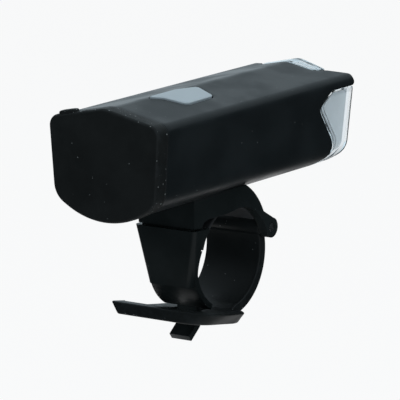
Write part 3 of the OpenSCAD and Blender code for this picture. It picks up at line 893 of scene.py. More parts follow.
@dataclass(frozen=True)
class MirrorFinish(Finish):
    """Moulded plastic that is metallised where the piece's edge attribute is high."""

    bright_roughness: float = 0.1

    def dress(self, make: NodeMaker, shader: Node) -> None:
        """Fills the shader's inputs, and lets the bright dish take over from the plain outside.

        Args:
            make: Maker of the material's nodes.
            shader: The material's main shader.
        """
        super().dress(make, shader)
        plain = shader.inputs["Roughness"].links[0].from_socket
        bright = make.ramp(make.edge(), 0.3, 0.7)
        rough = make.ramp(bright, 0.0, 1.0, plain, self.bright_roughness)
        make.fill(shader, {"Metallic": bright, "Roughness": rough})


@dataclass(frozen=True)
class MilkyFinish(Finish):
    """Translucent plastic that lets light in below its surface."""

    depth_mm: float = 0.6
    share: float = 0.4

    def dress(self, make: NodeMaker, shader: Node) -> None:
        """Fills the shader's inputs for translucent plastic.

        Args:
            make: Maker of the material's nodes.
            shader: The material's main shader.
        """
        super().dress(make, shader)
        make.fill(shader, {"Subsurface Weight": self.share, "Subsurface Radius": (1.0, 1.0, 1.0),
                           "Subsurface Scale": self.depth_mm * MM})


FINISHES: dict[str, Finish] = {f.slot: f for f in (
    Finish("shell_plastic", (0.0121, 0.0143, 0.0153), 0.38, specular=0.1, grain_mm=0.16, grain_depth_mm=0.002,
           drift=0.15, dust=0.05, wear=0.06),
    ClearFinish("clear_lens", (0.95, 0.98, 1.0), 0.03, grain_depth_mm=0.0, drift=0.02, rough_drift=0.02),
    Finish("seal_rubber", (0.04, 0.04, 0.042), 0.7, specular=0.3),
    MirrorFinish("bright_reflector", (0.62, 0.65, 0.66), 0.45, grain_mm=1.0, grain_depth_mm=0.003,
                 drift=0.05),
    Finish("led_phosphor", (0.9, 0.72, 0.16), 0.35, coat=0.8, drift=0.1, drift_mm=1.0),
    Finish("white_board", (0.78, 0.77, 0.72), 0.45, drift=0.06, drift_mm=3.0),
    Finish("bare_aluminium", (0.62, 0.64, 0.66), 0.35, metallic=1.0, brushed=True, drift=0.15),
    Finish("cell_wrap", (0.07, 0.19, 0.4), 0.3, drift=0.1, coat=0.3),
    Finish("cradle_plastic", (0.72, 0.72, 0.69), 0.5, drift=0.05),
    Finish("tab_nickel", (0.62, 0.6, 0.55), 0.35, metallic=1.0, brushed=True),
    Finish("green_board", (0.02, 0.15, 0.06), 0.35, drift=0.35, drift_mm=2.0, coat=0.3),
    Finish("screw_steel", (0.42, 0.43, 0.44), 0.35, metallic=1.0, brushed=True),
    Finish("socket_steel", (0.6, 0.61, 0.62), 0.28, metallic=1.0, brushed=True),
    Finish("switch_plastic", (0.03, 0.03, 0.033), 0.5),
    Finish("led_resin", (0.85, 0.92, 0.86), 0.15, coat=0.5, drift=0.04),
    MilkyFinish("button_plastic", (0.425, 0.455, 0.475), 0.4, specular=0.2, grain_mm=0.2,
                grain_depth_mm=0.006, drift=0.05),
    Finish("cap_rubber", (0.0128, 0.0134, 0.0132), 0.5, specular=0.06, grain_mm=0.12, grain_depth_mm=0.008,
           drift=0.12, dust=0.6, film=0.008, speck=0.25, wear=0.05),
    Finish("clamp_plastic", (0.0115, 0.0138, 0.0138), 0.34, specular=0.1, grain_mm=0.2, grain_depth_mm=0.004,
           dust=0.05, wear=0.06),
    Finish("pad_rubber", (0.02, 0.02, 0.021), 0.7, specular=0.25, grain_depth_mm=0.02),
    Finish("pin_steel", (0.5, 0.51, 0.52), 0.3, metallic=1.0, brushed=True),
    Finish("strap_rubber", (0.0105, 0.0115, 0.0115), 0.45, specular=0.1, grain_mm=0.22, grain_depth_mm=0.005,
           dust=0.08, wear=0.04),
)}


def dress_node(node: str, slot: str) -> None:
    """Gives a frame node that stays in view its finish.

    Args:
        node: Name of the node.
        slot: Material slot of the record.
    """
    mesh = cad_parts[node].data
    mesh.materials.clear()
    mesh.materials.append(FINISHES[slot].material())
    log.info("%s keeps its solid, in %s", node, slot)


def fit_piece(obj: bpy.types.Object, body: Body, slot: str, *nodes: str) -> None:
    """Dresses a new piece, lets it ride on its body and stand for frame nodes.

    Args:
        obj: The piece.
        body: Body that it rides on.
        slot: Material slot of the record.
        nodes: Frame nodes that it replaces.
    """
    obj.data.materials.clear()
    obj.data.materials.append(FINISHES[slot].material())
    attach(obj, body.value)
    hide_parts(*nodes)
    log.info("%s: %d faces on %s", obj.name, len(obj.data.polygons), body.value)


def blend_piece(obj: bpy.types.Object, bodies: tuple[Body, Body], ends: tuple[Point, Point], slot: str,
                *nodes: str) -> None:
    """Dresses a new rubber piece, bakes its place into its mesh, and lets it stand for frame nodes.

    Args:
        obj: The piece.
        bodies: Not used.
        ends: Points in millimetres, which are only turned into metres.
        slot: Material slot of the record.
        nodes: Frame nodes that it replaces.
    """
    obj.data.materials.append(FINISHES[slot].material())
    start, end = (tuple(c * MM for c in point) for point in ends)
    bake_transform(obj)
    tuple(start)
    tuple(end)
    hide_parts(*nodes)
    log.info("%s: %d faces between two bodies", obj.name, len(obj.data.polygons))


def softened_copy(node: str, name: str, radius: float, crease: float = 28.0) -> bpy.types.Object:
    """Copy of a frame node's mesh, merged, with its sharp edges rounded.

    Args:
        node: The frame node.
        name: Name of the new piece.
        radius: Width of the rounding, in millimetres.
        crease: Angle in degrees from which an edge is rounded.

    Returns:
        The new object.
    """
    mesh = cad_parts[node].data.copy()
    mesh.name = name
    work = bmesh.new()
    work.from_mesh(mesh)
    bmesh.ops.remove_doubles(work, verts=work.verts, dist=WELD)
    bmesh.ops.dissolve_limit(work, angle_limit=math.radians(0.5), verts=work.verts, edges=work.edges)
    work.to_mesh(mesh)
    work.free()
    mesh.shade_smooth()
    obj = link(name, mesh)
    bevel = obj.modifiers.new("soft_edges", "BEVEL")
    bevel.width = radius * MM
    bevel.segments = 3
    bevel.limit_method = "ANGLE"
    bevel.angle_limit = math.radians(crease)
    bevel.harden_normals = True
    return obj


@dataclass
class Housing:
    """Shell and button of the lamp.

    Heights are counted up from the belly. Window, sill and notch lie back from the visor's tip, and the
    button back from the clamp's axis. The leaf's corners are shares of the button's length and width.
    """

    section: LampSection = field(default_factory=LampSection)
    wall: float = 1.8
    edge: float = 0.35
    window_back: float = 16.2
    window_height: float = 18.4
    window_bend: float = 5.9
    sill_back: float = 8.9
    sill_height: float = 8.6
    visor_height: float = 22.2
    notch_length: float = 7.5
    notch_half: float = 8.0
    waist_half: float = 10.0
    mouth_half: float = 14.75
    seam: float = 0.25
    button_back: float = 13.2
    button_length: float = 18.6
    button_width: float = 8.4
    button_edge: float = 0.1
    button_proud: float = 0.35
    button_round: float = 0.22
    button_crown: float = 0.06
    button_slack: float = 0.05
    button_flange: float = 0.8
    flange_thick: float = 0.6
    leaf_corners: tuple[tuple[float, float], ...] = ((-0.535, 0), (0.086, -0.02), (0.495, 0.17),
                                                     (0.366, 0.97), (-0.274, 1.02), (-0.36, 0.3))
    leaf_radii: tuple[float, ...] = (0.35, 3.0, 1.1, 1.5, 2.0, 2.5)
    front_radii: tuple[float, ...] = (5, 1.5, 4, 1.1, 1.2, 4, 1.2)
    slot_half: float = 2.6
    slot_length: float = 3.35
    slot_radii: tuple[float, ...] = (0.5, 0.4, 0.4, 0.5)
    net_start: float = 0.6
    net_along: float = 1.3
    net_round: float = 1.4

    def __post_init__(self) -> None:
        """Takes the stations from the frame."""
        low, high = box_mm("body_shell")
        self.rear_x, self.tip_x = low[0], high[0]
        self.skin = LampSkin(self.section, low[2])

    def build(self) -> None:
        """Makes every piece of the housing."""
        fit_piece(self.shell().to_object("shell"), Body.LAMP, "shell_plastic", "body_shell")
        fit_piece(self.button().to_object("button_leaf"), Body.BUTTON, "button_plastic", "power_button")

    def leaf(self) -> Array:
        """The button's outline, a leaf with rounded corners.

        Returns:
            Points (distance along the beam, distance down the near slope from the crest).
        """
        size = [self.button_length, self.button_width]
        corners = np.array(self.leaf_corners) * size + [-self.button_back, self.button_edge]
        return resample(rounded_loop(inside_left(corners), self.leaf_radii), 0.25, closed=True)

    def front_edge(self) -> Array:
        """The shell's front edge on the unrolled skin, both sides: sill, window, visor tip and notch.

        Returns:
            Points (station along the beam, distance round the section).
        """
        skin = self.skin
        window_x = self.tip_x - self.window_back
        notch_x = self.tip_x - self.notch_length
        sill = skin.at_height(self.sill_height)
        visor = skin.at_height(self.visor_height)
        corners = [(self.tip_x - self.sill_back, 0),
                   (self.tip_x - self.sill_back, sill),
                   (window_x, skin.at_height(self.window_height)),
                   (window_x + self.window_bend, visor),
                   (self.tip_x, visor),
                   (self.tip_x, skin.at_width(self.mouth_half)),
                   (self.tip_x - self.notch_length / 2, skin.at_width(self.waist_half)),
                   (notch_x, skin.at_width(self.notch_half)),
                   (notch_x, skin.crest)]
        near = rounded_chain(corners, self.front_radii)
        far = (near * [1, -1] + [0, skin.girth])[::-1]
        return resample(np.concatenate([near, far[1:]]), 0.3)

    def rear_edge(self) -> Array:
        """The shell's rear edge on the unrolled skin, with the cap tongue's slot at the belly's middle.

        Returns:
            Points (station along the beam, distance round the section).
        """
        deep = self.rear_x + self.slot_length
        far = self.skin.girth - self.slot_half
        corners = [(deep, self.skin.girth), (deep, far), (self.rear_x, far),
                   (self.rear_x, self.slot_half), (deep, self.slot_half), (deep, 0)]
        return resample(rounded_chain(corners, self.slot_radii), 0.5)

    def shell(self) -> Patch:
        """The shell: the unrolled skin, cut out and wrapped round the section with its wall.

        Returns:
            The closed wall.
        """
        skin = self.skin
        front = self.front_edge()
        rear = self.rear_edge()
        leaf = inside_left(self.leaf() * [1, -1] + [0, skin.crest])
        hole = inset(leaf, -self.seam, closed=True)[::-1]
        x = np.arange(self.rear_x + self.net_start, self.tip_x, self.net_along)
        lattice = np.stack(np.meshgrid(x, skin.stations(self.net_round)[1:-1]), -1).reshape(-1, 2)
        sheet = CutSheet([(rear, False), (front, False), (hole, True)], lattice, self.edge)
        return sheet.wrap(skin.place, lambda a, b: np.full(len(a), self.wall))

    def button(self) -> Patch:
        """The button: its leaf carried up from the flange to a crowned top with a round edge.

        Returns:
            The closed button.
        """
        slope = self.section.roof_angle
        under = -self.wall / math.cos(slope) - self.button_slack
        bottom = under - self.flange_thick
        flange, soft, top = self.button_flange, self.button_round, self.button_proud
        rows = [(-flange, bottom, 0), (-flange, bottom, 1), (-flange, under, 1), (0, under, 1)]
        rows += [(d, top - h, 1) for d, h in round_edge(soft, 5)[::-1]]
        rows += [(soft, top + self.button_crown * (1 - k * k), k) for k in (0.85, 0.65, 0.4, 0.2, 0.0)]
        leaf = inside_left(self.leaf())
        middle = leaf.mean(0)
        points = []
        for distance, height, shrink in rows:
            flat = middle + (inset(leaf, distance, True) - middle) * shrink
            points.append(self.on_roof(flat, height))
        return grid(np.array(points))

    def on_roof(self, flat: Array, height: float) -> Array:
        """Points on the near slope of the roof.

        Args:
            flat: Distances along the beam and down from the crest.
            height: Height square to the roof.

        Returns:
            The points.
        """
        slope = self.section.roof_angle
        crest_z = self.skin.belly_z + self.section.shoulder + self.section.rise
        y = -flat[:, 1] * math.cos(slope) - height * math.sin(slope)
        z = crest_z - flat[:, 1] * math.sin(slope) + height * math.cos(slope)
        return np.stack([flat[:, 0], y, z], 1)


@dataclass
class Optics:
    """Clear lens with its tongue in the roof, and the reflector behind it.

    The chin's bend and band are heights above the belly between which its rounding and its painted shade
    fade, and the brow's band of painted shade is counted down from the visor. The tongue's front is given as
    (distance behind the tip, half width). Tints and painted shades are shares of the finish's shade colour.
    """

    housing: Housing
    fit: float = 0.06
    column: float = 0.35
    column_gap: float = 0.05
    rim_width: float = 0.75
    rim_chamfer: float = 0.15
    rim_fade: float = 0.08
    # Painted shade on the rim beside the shell, and in each row of the bend round the face.
    rim_shade: float = 0.3
    bend_shades: tuple[float, ...] = (0.5, 0.6, 0.6, 0.6, 0.6, 0.6, 0.3)
    border_width: float = 2.5
    groove_width: float = 0.5
    groove_depth: float = 1.0
    brow_gap: float = 0.4
    # Band of painted shade under the visor, counted down from it, and its depth.
    brow_shade_band: tuple[float, float] = (1.6, 1.2)
    brow_shade: float = 0.45
    setback: float = 0.05
    lean: float = 5.0
    wall: float = 1.1
    face: float = 1.1
    side_radius: float = 1.2
    least_radius: float = 0.4
    chin_radius: float = 2.5
    chin_bend: tuple[float, float] = (2.0, 6.0)
    # Band of painted shade at the chin, as heights above the belly, and its depth.
    chin_shade_band: tuple[float, float] = (4.5, 7.5)
    chin_shade: float = 0.3
    beam_height: float = 13.4
    dish_radius: float = 10.3
    dish_focus: float = 2.0
    dish_hole: float = 2.6
    panel_gap: float = 0.35
    rear_gap: float = 0.15
    tongue_front: tuple[tuple[float, float], ...] = ((3.4, 9.7), (1.7, 2.5), (1.3, 0))
    tongue_radii: tuple[float, ...] = (1.2, 0.8, 3.0)
    tongue_edge: float = 0.3
    tongue_lift: float = 0.25
    tongue_tint: float = 0.5

    def __post_init__(self) -> None:
        """Takes the stations from the frame, and lays out the columns round the section.

        Columns run round the outline. Where the window's top edge meets the visor there are two at one place:
        one on the outer surface and one below the roof, so that the step between them is a wall.
        """
        skin, gap = self.housing.skin, self.column_gap
        self.rear_x = box_mm("front_lens")[0][0]
        self.front_x = self.housing.tip_x - self.setback
        self.under = self.housing.wall + self.fit
        top = skin.at_height(self.housing.visor_height) - self.brow_gap
        ends = np.array([top, skin.girth - top])
        every = skin.stations(self.column)
        near = every[every < ends[0] - gap]
        roof = every[(every > ends[0] + gap) & (every < ends[1] - gap)]
        far = every[every > ends[1] + gap]
        self.s = np.concatenate([near, ends[[0, 0]], roof, ends[[1, 1]], far])
        self.base = np.zeros(len(self.s))
        self.base[len(near) + 1:len(near) + len(roof) + 3] = self.under
        chain = self.housing.front_edge()
        chain = chain[:int(np.argmax(chain[:, 1] > top)) + 1]
        self.edge = np.interp(np.minimum(self.s, skin.girth - self.s), chain[:, 1], chain[:, 0]) + self.fit

    def build(self) -> None:
        """Makes the lens and the reflector."""
        lens = self.lens().joined(self.tongue())
        fit_piece(lens.to_object("clear_front"), Body.LAMP, "clear_lens", "front_lens")
        fit_piece(self.reflector().to_object("bright_dish"), Body.LAMP, "bright_reflector", "reflector")

    def front(self, z: Array) -> Array:
        """Station of the front face, which leans back below the visor."""
        below = np.clip(self.housing.visor_height - z, 0, None)
        return self.front_x - math.tan(math.radians(self.lean)) * below

    def row(self, x: Array | float, depth: Array | float, shrink: float = 1.0,
            from_front: bool = False) -> Array:
        """One row of points round the section.

        Args:
            x: Station along the beam, or distance behind the front face.
            depth: Distance inside the outer outline.
            shrink: How far the row is drawn in towards the beam's axis, from 1 to 0.
            from_front: Whether x is counted from the front face.

        Returns:
            The points.
        """
        skin = self.housing.skin
        flat = skin.ring(self.s, np.broadcast_to(depth, self.s.shape))
        axis = np.array([0, self.beam_height])
        flat = axis + (flat - axis) * shrink
        x = self.front(flat[:, 1]) - x if from_front else np.broadcast_to(x, self.s.shape)
        return np.stack([x, flat[:, 0], flat[:, 1] + skin.belly_z], 1)

    def edge_radius(self) -> Array:
        """Rounding of the front edge: small on the sides, large at the chin and slight under the roof.

        Returns:
            The radius in each column.
        """
        low = 1 - smooth(self.height(), *self.chin_bend)
        radius = self.side_radius + (self.chin_radius - self.side_radius) * low
        return np.where(self.base > 0, self.least_radius, radius)

    def inner_radius(self) -> Array:
        """Rounding inside the front edge, a wall less than outside."""
        return np.maximum(self.edge_radius() - self.wall, self.least_radius)

    def height(self) -> Array:
        """Height of each column above the belly, on the outer outline."""
        return self.housing.skin.ring(self.s, np.zeros(len(self.s)))[:, 1]

    def tint(self) -> Array:
        """Depth of the painted shade on the outer wall in each column: more at the chin and in a band under
        the visor.

        Returns:
            The painted shade in each column, from 0 to 1.
        """
        height, visor = self.height(), self.housing.visor_height
        # Painted shade: darker in a band under the visor and at the chin.
        brow_shading = self.brow_shade * smooth(height, visor - self.brow_shade_band[0], visor - self.brow_shade_band[1])
        chin_shading = self.chin_shade * (1 - smooth(height, *self.chin_shade_band))
        return np.where(self.base > 0, 0, np.maximum(chin_shading, brow_shading))

    def lens(self) -> Patch:
        """Lens: a cup with even walls, lofted from its rear rim over window and face, and back inside.

        Its tone is deeper, as painted shade, on the rim beside the shell, on the bend round the face
        and where tint says.

        Returns:
            The closed cup, with the depth of its painted shade at each point.
        """
        base, edge, wall, face = self.base, self.edge, self.wall, self.face
        radius, inner = self.edge_radius(), self.inner_radius()
        start = self.front(self.housing.skin.ring(self.s, base)[:, 1]) - radius
        rear = [self.row(self.rear_x, self.under)]
        rim = [self.row(edge, self.under), self.row(edge, base + self.rim_chamfer)]
        rim += [self.row(edge + width, base) for width in (self.rim_chamfer, self.rim_width)]
        window = [self.row(edge + (self.rim_width + self.rim_fade), base)]
        window += [self.row(edge + 1.0 + (start - edge - 1.0) * t, base) for t in (0.3, 0.6, 0.92)]
        bend = [self.row(radius * h, base + radius * d, 1.0, True) for d, h in round_edge(1.0, 6)[::-1]]
        rest = [self.row(0.0, base + radius, k, True) for k in (0.8, 0.6, 0.4, 0.2, 0.0)]
        rest += [self.row(face, base + wall + inner, k, True) for k in (0.0, 0.3, 0.6, 0.8)]
        rest += [self.row(face + inner * h, base + wall + inner * d, 1.0, True) for d, h in round_edge(1.0)]
        rest += [self.row(edge + 1.4, base + wall), self.row(edge + 0.6, self.under + wall),
                 self.row(self.rear_x, self.under + wall), rear[0]]
        rows = rear + rim + window + bend + rest
        # Painted shade in each row: on the rim beside the shell and round the bend of the face.
        tone = np.concatenate([np.zeros(len(rear)), np.full(len(rim), self.rim_shade), np.zeros(len(window)),
                               self.bend_shades, np.zeros(len(rest))])
        # The outer wall's rows, from the rim's chamfer to the end of the bend, also take each column's
        # painted shade.
        outside = np.zeros(len(rows))
        outside[len(rear) + 2:-len(rest)] = 1
        return grid(np.array(rows), np.maximum(tone[:, None], outside[:, None] * self.tint()))

    def tongue(self) -> Patch:
        """Tongue in the roof's notch: its outline on the unrolled skin, wrapped with a wall.

        Returns:
            The closed tongue, with an even darker tint, and painted shade on its rounded rims.
        """
        housing, skin = self.housing, self.housing.skin
        rear = housing.tip_x - housing.notch_length + self.fit
        half = [(rear, 0), (rear, housing.notch_half - self.fit)]
        half += [(housing.tip_x - back, y) for back, y in self.tongue_front]
        near = rounded_chain([(x, skin.at_width(y)) for x, y in half], self.tongue_radii)
        far = (near * [1, -1] + [0, skin.girth])[::-1]
        loop = resample(np.concatenate([near, far[1:-1]]), 0.25, closed=True)
        x = np.arange(rear, housing.tip_x, 0.6)
        lattice = np.stack(np.meshgrid(x, skin.stations(0.8)), -1).reshape(-1, 2)
        sheet = CutSheet([(inside_left(loop), True)], lattice, self.tongue_edge)
        wall = sheet.wrap(skin.place, lambda a, b: np.full(len(a), self.under - self.tongue_lift))
        # An even darker tint over the tongue, deepening to painted shade on its rounded rims.
        return Patch(wall.points, wall.faces, np.maximum(wall.edge, self.tongue_tint))

    def reflector(self) -> Patch:
        """Reflector: panels behind the windows with a border and a groove, then a rim and the dish.

        The dish is a paraboloid: its station along the beam grows with the square of the radius.

        Returns:
            The closed reflector, with its dish marked as bright.
        """
        base, edge, face = self.base, self.edge, self.face
        inner = self.under + self.wall + self.rear_gap
        panel = base + self.wall + self.panel_gap
        soft = self.inner_radius()
        lip = np.minimum(panel + 0.6, inner)
        start = edge + self.border_width
        stop = start + self.groove_width
        groove = panel + self.groove_depth
        sides = [(self.rear_x + 1.0, inner), (edge + 0.8, inner), (edge + 1.2, lip),
                 (edge + 1.5, panel + 0.1), (edge + 1.7, panel),
                 (start - 0.05, panel), (start, panel + 0.08), (start + 0.05, groove),
                 (stop - 0.05, groove), (stop, panel + 0.08), (stop + 0.05, panel)]
        rim = [(face + 0.5 + soft, panel), (face + 0.35 + 0.9 * soft, panel + 0.2), (face + 0.7, panel + 1.0)]
        body = [self.row(x, depth) for x, depth in sides]
        body += [self.row(x, depth, from_front=True) for x, depth in rim]
        spokes = self.row(0.0, base)[:, 1:] - [0, self.housing.skin.belly_z + self.beam_height]
        spokes = spokes / np.linalg.norm(spokes, axis=1, keepdims=True)
        radii = np.linspace(self.dish_radius, self.dish_hole, 18)
        dish = [self.turned(spokes, r, self.rear_x + r * r / (4 * self.dish_focus)) for r in radii]
        hole = self.turned(spokes, self.dish_hole, self.rear_x + 0.3)
        rows = body + dish + [hole, body[0]]
        polish = np.concatenate([np.zeros(len(body)), np.ones(len(dish)), np.zeros(2)])
        return grid(np.array(rows), polish)

    def turned(self, spokes: Array, radius: float, x: float) -> Array:
        """Circle about the beam, with its points on the given spokes."""
        flat = radius * spokes + [0, self.housing.skin.belly_z + self.beam_height]
        return np.stack([np.full(len(flat), x), flat[:, 0], flat[:, 1]], 1)


@dataclass
class RearCap:
    """Rubber cap over the rear face, with its plug, its pull lip and the tongue that it hangs on."""

    section: LampSection = field(default_factory=LampSection)
    proud: float = 0.3
    edge: float = 0.75
    plug_gap: float = 2.15
    plug_wall: float = 1.85
    plug_depth: float = 2.0
    seam_half: float = 0.18
    middle_height: float = 13.5
    lip_half: tuple[float, float, float] = (1.15, 2.7, 0.85)
    lip_from_side: float = 5.4
    lip_forward: float = 1.35
    lip_lift: float = 0.25
    lip_power: float = 0.45
    tongue_half: float = 2.45
    tongue_edge: float = 0.15
    hinge: tuple[float, float] = (-37.3, 15.4)
    bend: float = 0.36

    def __post_init__(self) -> None:
        """Takes the stations from the frame."""
        low, high = box_mm("usb_cap")
        self.rear_x, self.plug_x = low[0], high[0]
        self.seam_x = self.plug_x - self.plug_depth
        self.belly_z = low[2] + self.proud

    def build(self) -> None:
        """Makes the cap with its lip, and the tongue between the lamp and the cap."""
        whole = self.cap().joined(self.lip())
        fit_piece(whole.to_object("rubber_cap"), Body.CAP, "cap_rubber", "usb_cap")
        x, z = self.hinge
        ends = ((x + self.bend, 0, z), (x - self.bend, 0, z))
        tongue = self.tongue().to_object("cap_tongue")
        blend_piece(tongue, (Body.LAMP, Body.CAP), ends, "cap_rubber", "cap_tether")

    def cap(self) -> Patch:
        """Cap: the lamp's outline carried from the rear face's middle, round its edge, to the plug and in.

        Returns:
            The closed cap.
        """
        face = [(self.rear_x, self.edge - self.proud, k) for k in (0.0, 0.3, 0.6, 0.85)]
        rear_edge = [(self.rear_x + h, d - self.proud, 1) for d, h in round_edge(self.edge, 6)]
        gap, inner, tip = self.plug_gap, self.plug_gap + self.plug_wall, self.plug_x
        front = self.seam_x - self.seam_half
        rows = face + rear_edge
        rows += [(front - h, d - self.proud, 1) for d, h in round_edge(0.3)[::-1]]
        rows += [(front, gap, 1), (tip - 0.4, gap, 1), (tip, gap + 0.4, 1), (tip, inner - 0.2, 1),
                 (tip - 0.2, inner, 1), *((self.seam_x, inner, k) for k in (1, 0.5, 0))]
        near = np.zeros(len(rows))
        near[len(face) + 2:len(face) + len(rear_edge)] = 1
        return grid(np.array([self._row(*row) for row in rows]), near)

    def _row(self, x: float, depth: float, shrink: float) -> Array:
        """The outline at one station, drawn in towards its middle.

        Args:
            x: Station along the beam.
            depth: Distance inside the lamp's outline.
            shrink: How far the outline is drawn in, from 1 to 0.

        Returns:
            The points.
        """
        line = self.section.loop(depth)[0][:-1]
        middle = np.array([0, self.middle_height])
        line = middle + (line - middle) * shrink
        return np.stack([np.full(len(line), x), line[:, 0], line[:, 1] + self.belly_z], 1)

    def lip(self) -> Patch:
        """Pull lip on the far slope: a flat round-ended bump, as a stretched superellipsoid.

        Returns:
            The closed lip.
        """
        u = np.linspace(0, 2 * math.pi, 48, endpoint=False)
        v = np.linspace(-math.pi / 2, math.pi / 2, 25)[:, None]
        ring = swollen(np.cos(v), self.lip_power)
        along, across, up = self.lip_half
        x = self.rear_x + self.lip_forward + along * ring * swollen(np.cos(u), self.lip_power)
        y = across * ring * swollen(np.sin(u), self.lip_power)
        z = up * swollen(np.sin(v), self.lip_power) * np.ones_like(u)
        slope = self.section.roof_angle
        y0 = self.section.width / 2 - self.lip_from_side
        crest = self.belly_z + self.section.shoulder + self.section.rise
        z0 = crest - y0 * math.tan(slope) + self.lip_lift
        return grid(np.stack([x, y0 + y * math.cos(slope) + z * math.sin(slope),
                              z0 - y * math.sin(slope) + z * math.cos(slope)], -1))

    def tongue(self) -> Patch:
        """Tongue: a side view carried across, thick in the shell's slot, thin at the hinge and at the cap.

        Its underside follows the belly, which rises with the square of the distance from the middle.

        Returns:
            The closed tongue.
        """
        x, z = self.hinge
        # Distance ahead of the hinge, and height above it.
        side = [(3.4, 0.45), (0.75, 0.45), (0.3, 0.1), (-0.9, 0.1), (-0.9, 0.75), (-0.3, 0.55), (0.3, 0.55),
                (0.75, 1.9), (3.4, 1.9)]
        loop = resample(rounded_loop(inside_left(np.array(side)), 0.12, 4), 0.12, closed=True)
        half, soft = self.tongue_half, self.tongue_edge
        stations = [(-half, soft), (-half + soft, 0.0), *((y, 0.0) for y in np.linspace(-2, 2, 9)),
                    (half - soft, 0.0), (half, soft)]
        rows = []
        for y, drawn_in in stations:
            flat = inset(loop, drawn_in, closed=True) + [x, z + y * y / (2 * self.section.belly_radius)]
            rows.append(np.stack([flat[:, 0], np.full(len(flat), y), flat[:, 1]], 1))
        skin = grid(np.array(rows))
        ends = [np.arange(len(loop))[None], np.arange(len(skin.points) - len(loop), len(skin.points))[None]]
        return Patch(skin.points, skin.faces + ends, skin.edge)


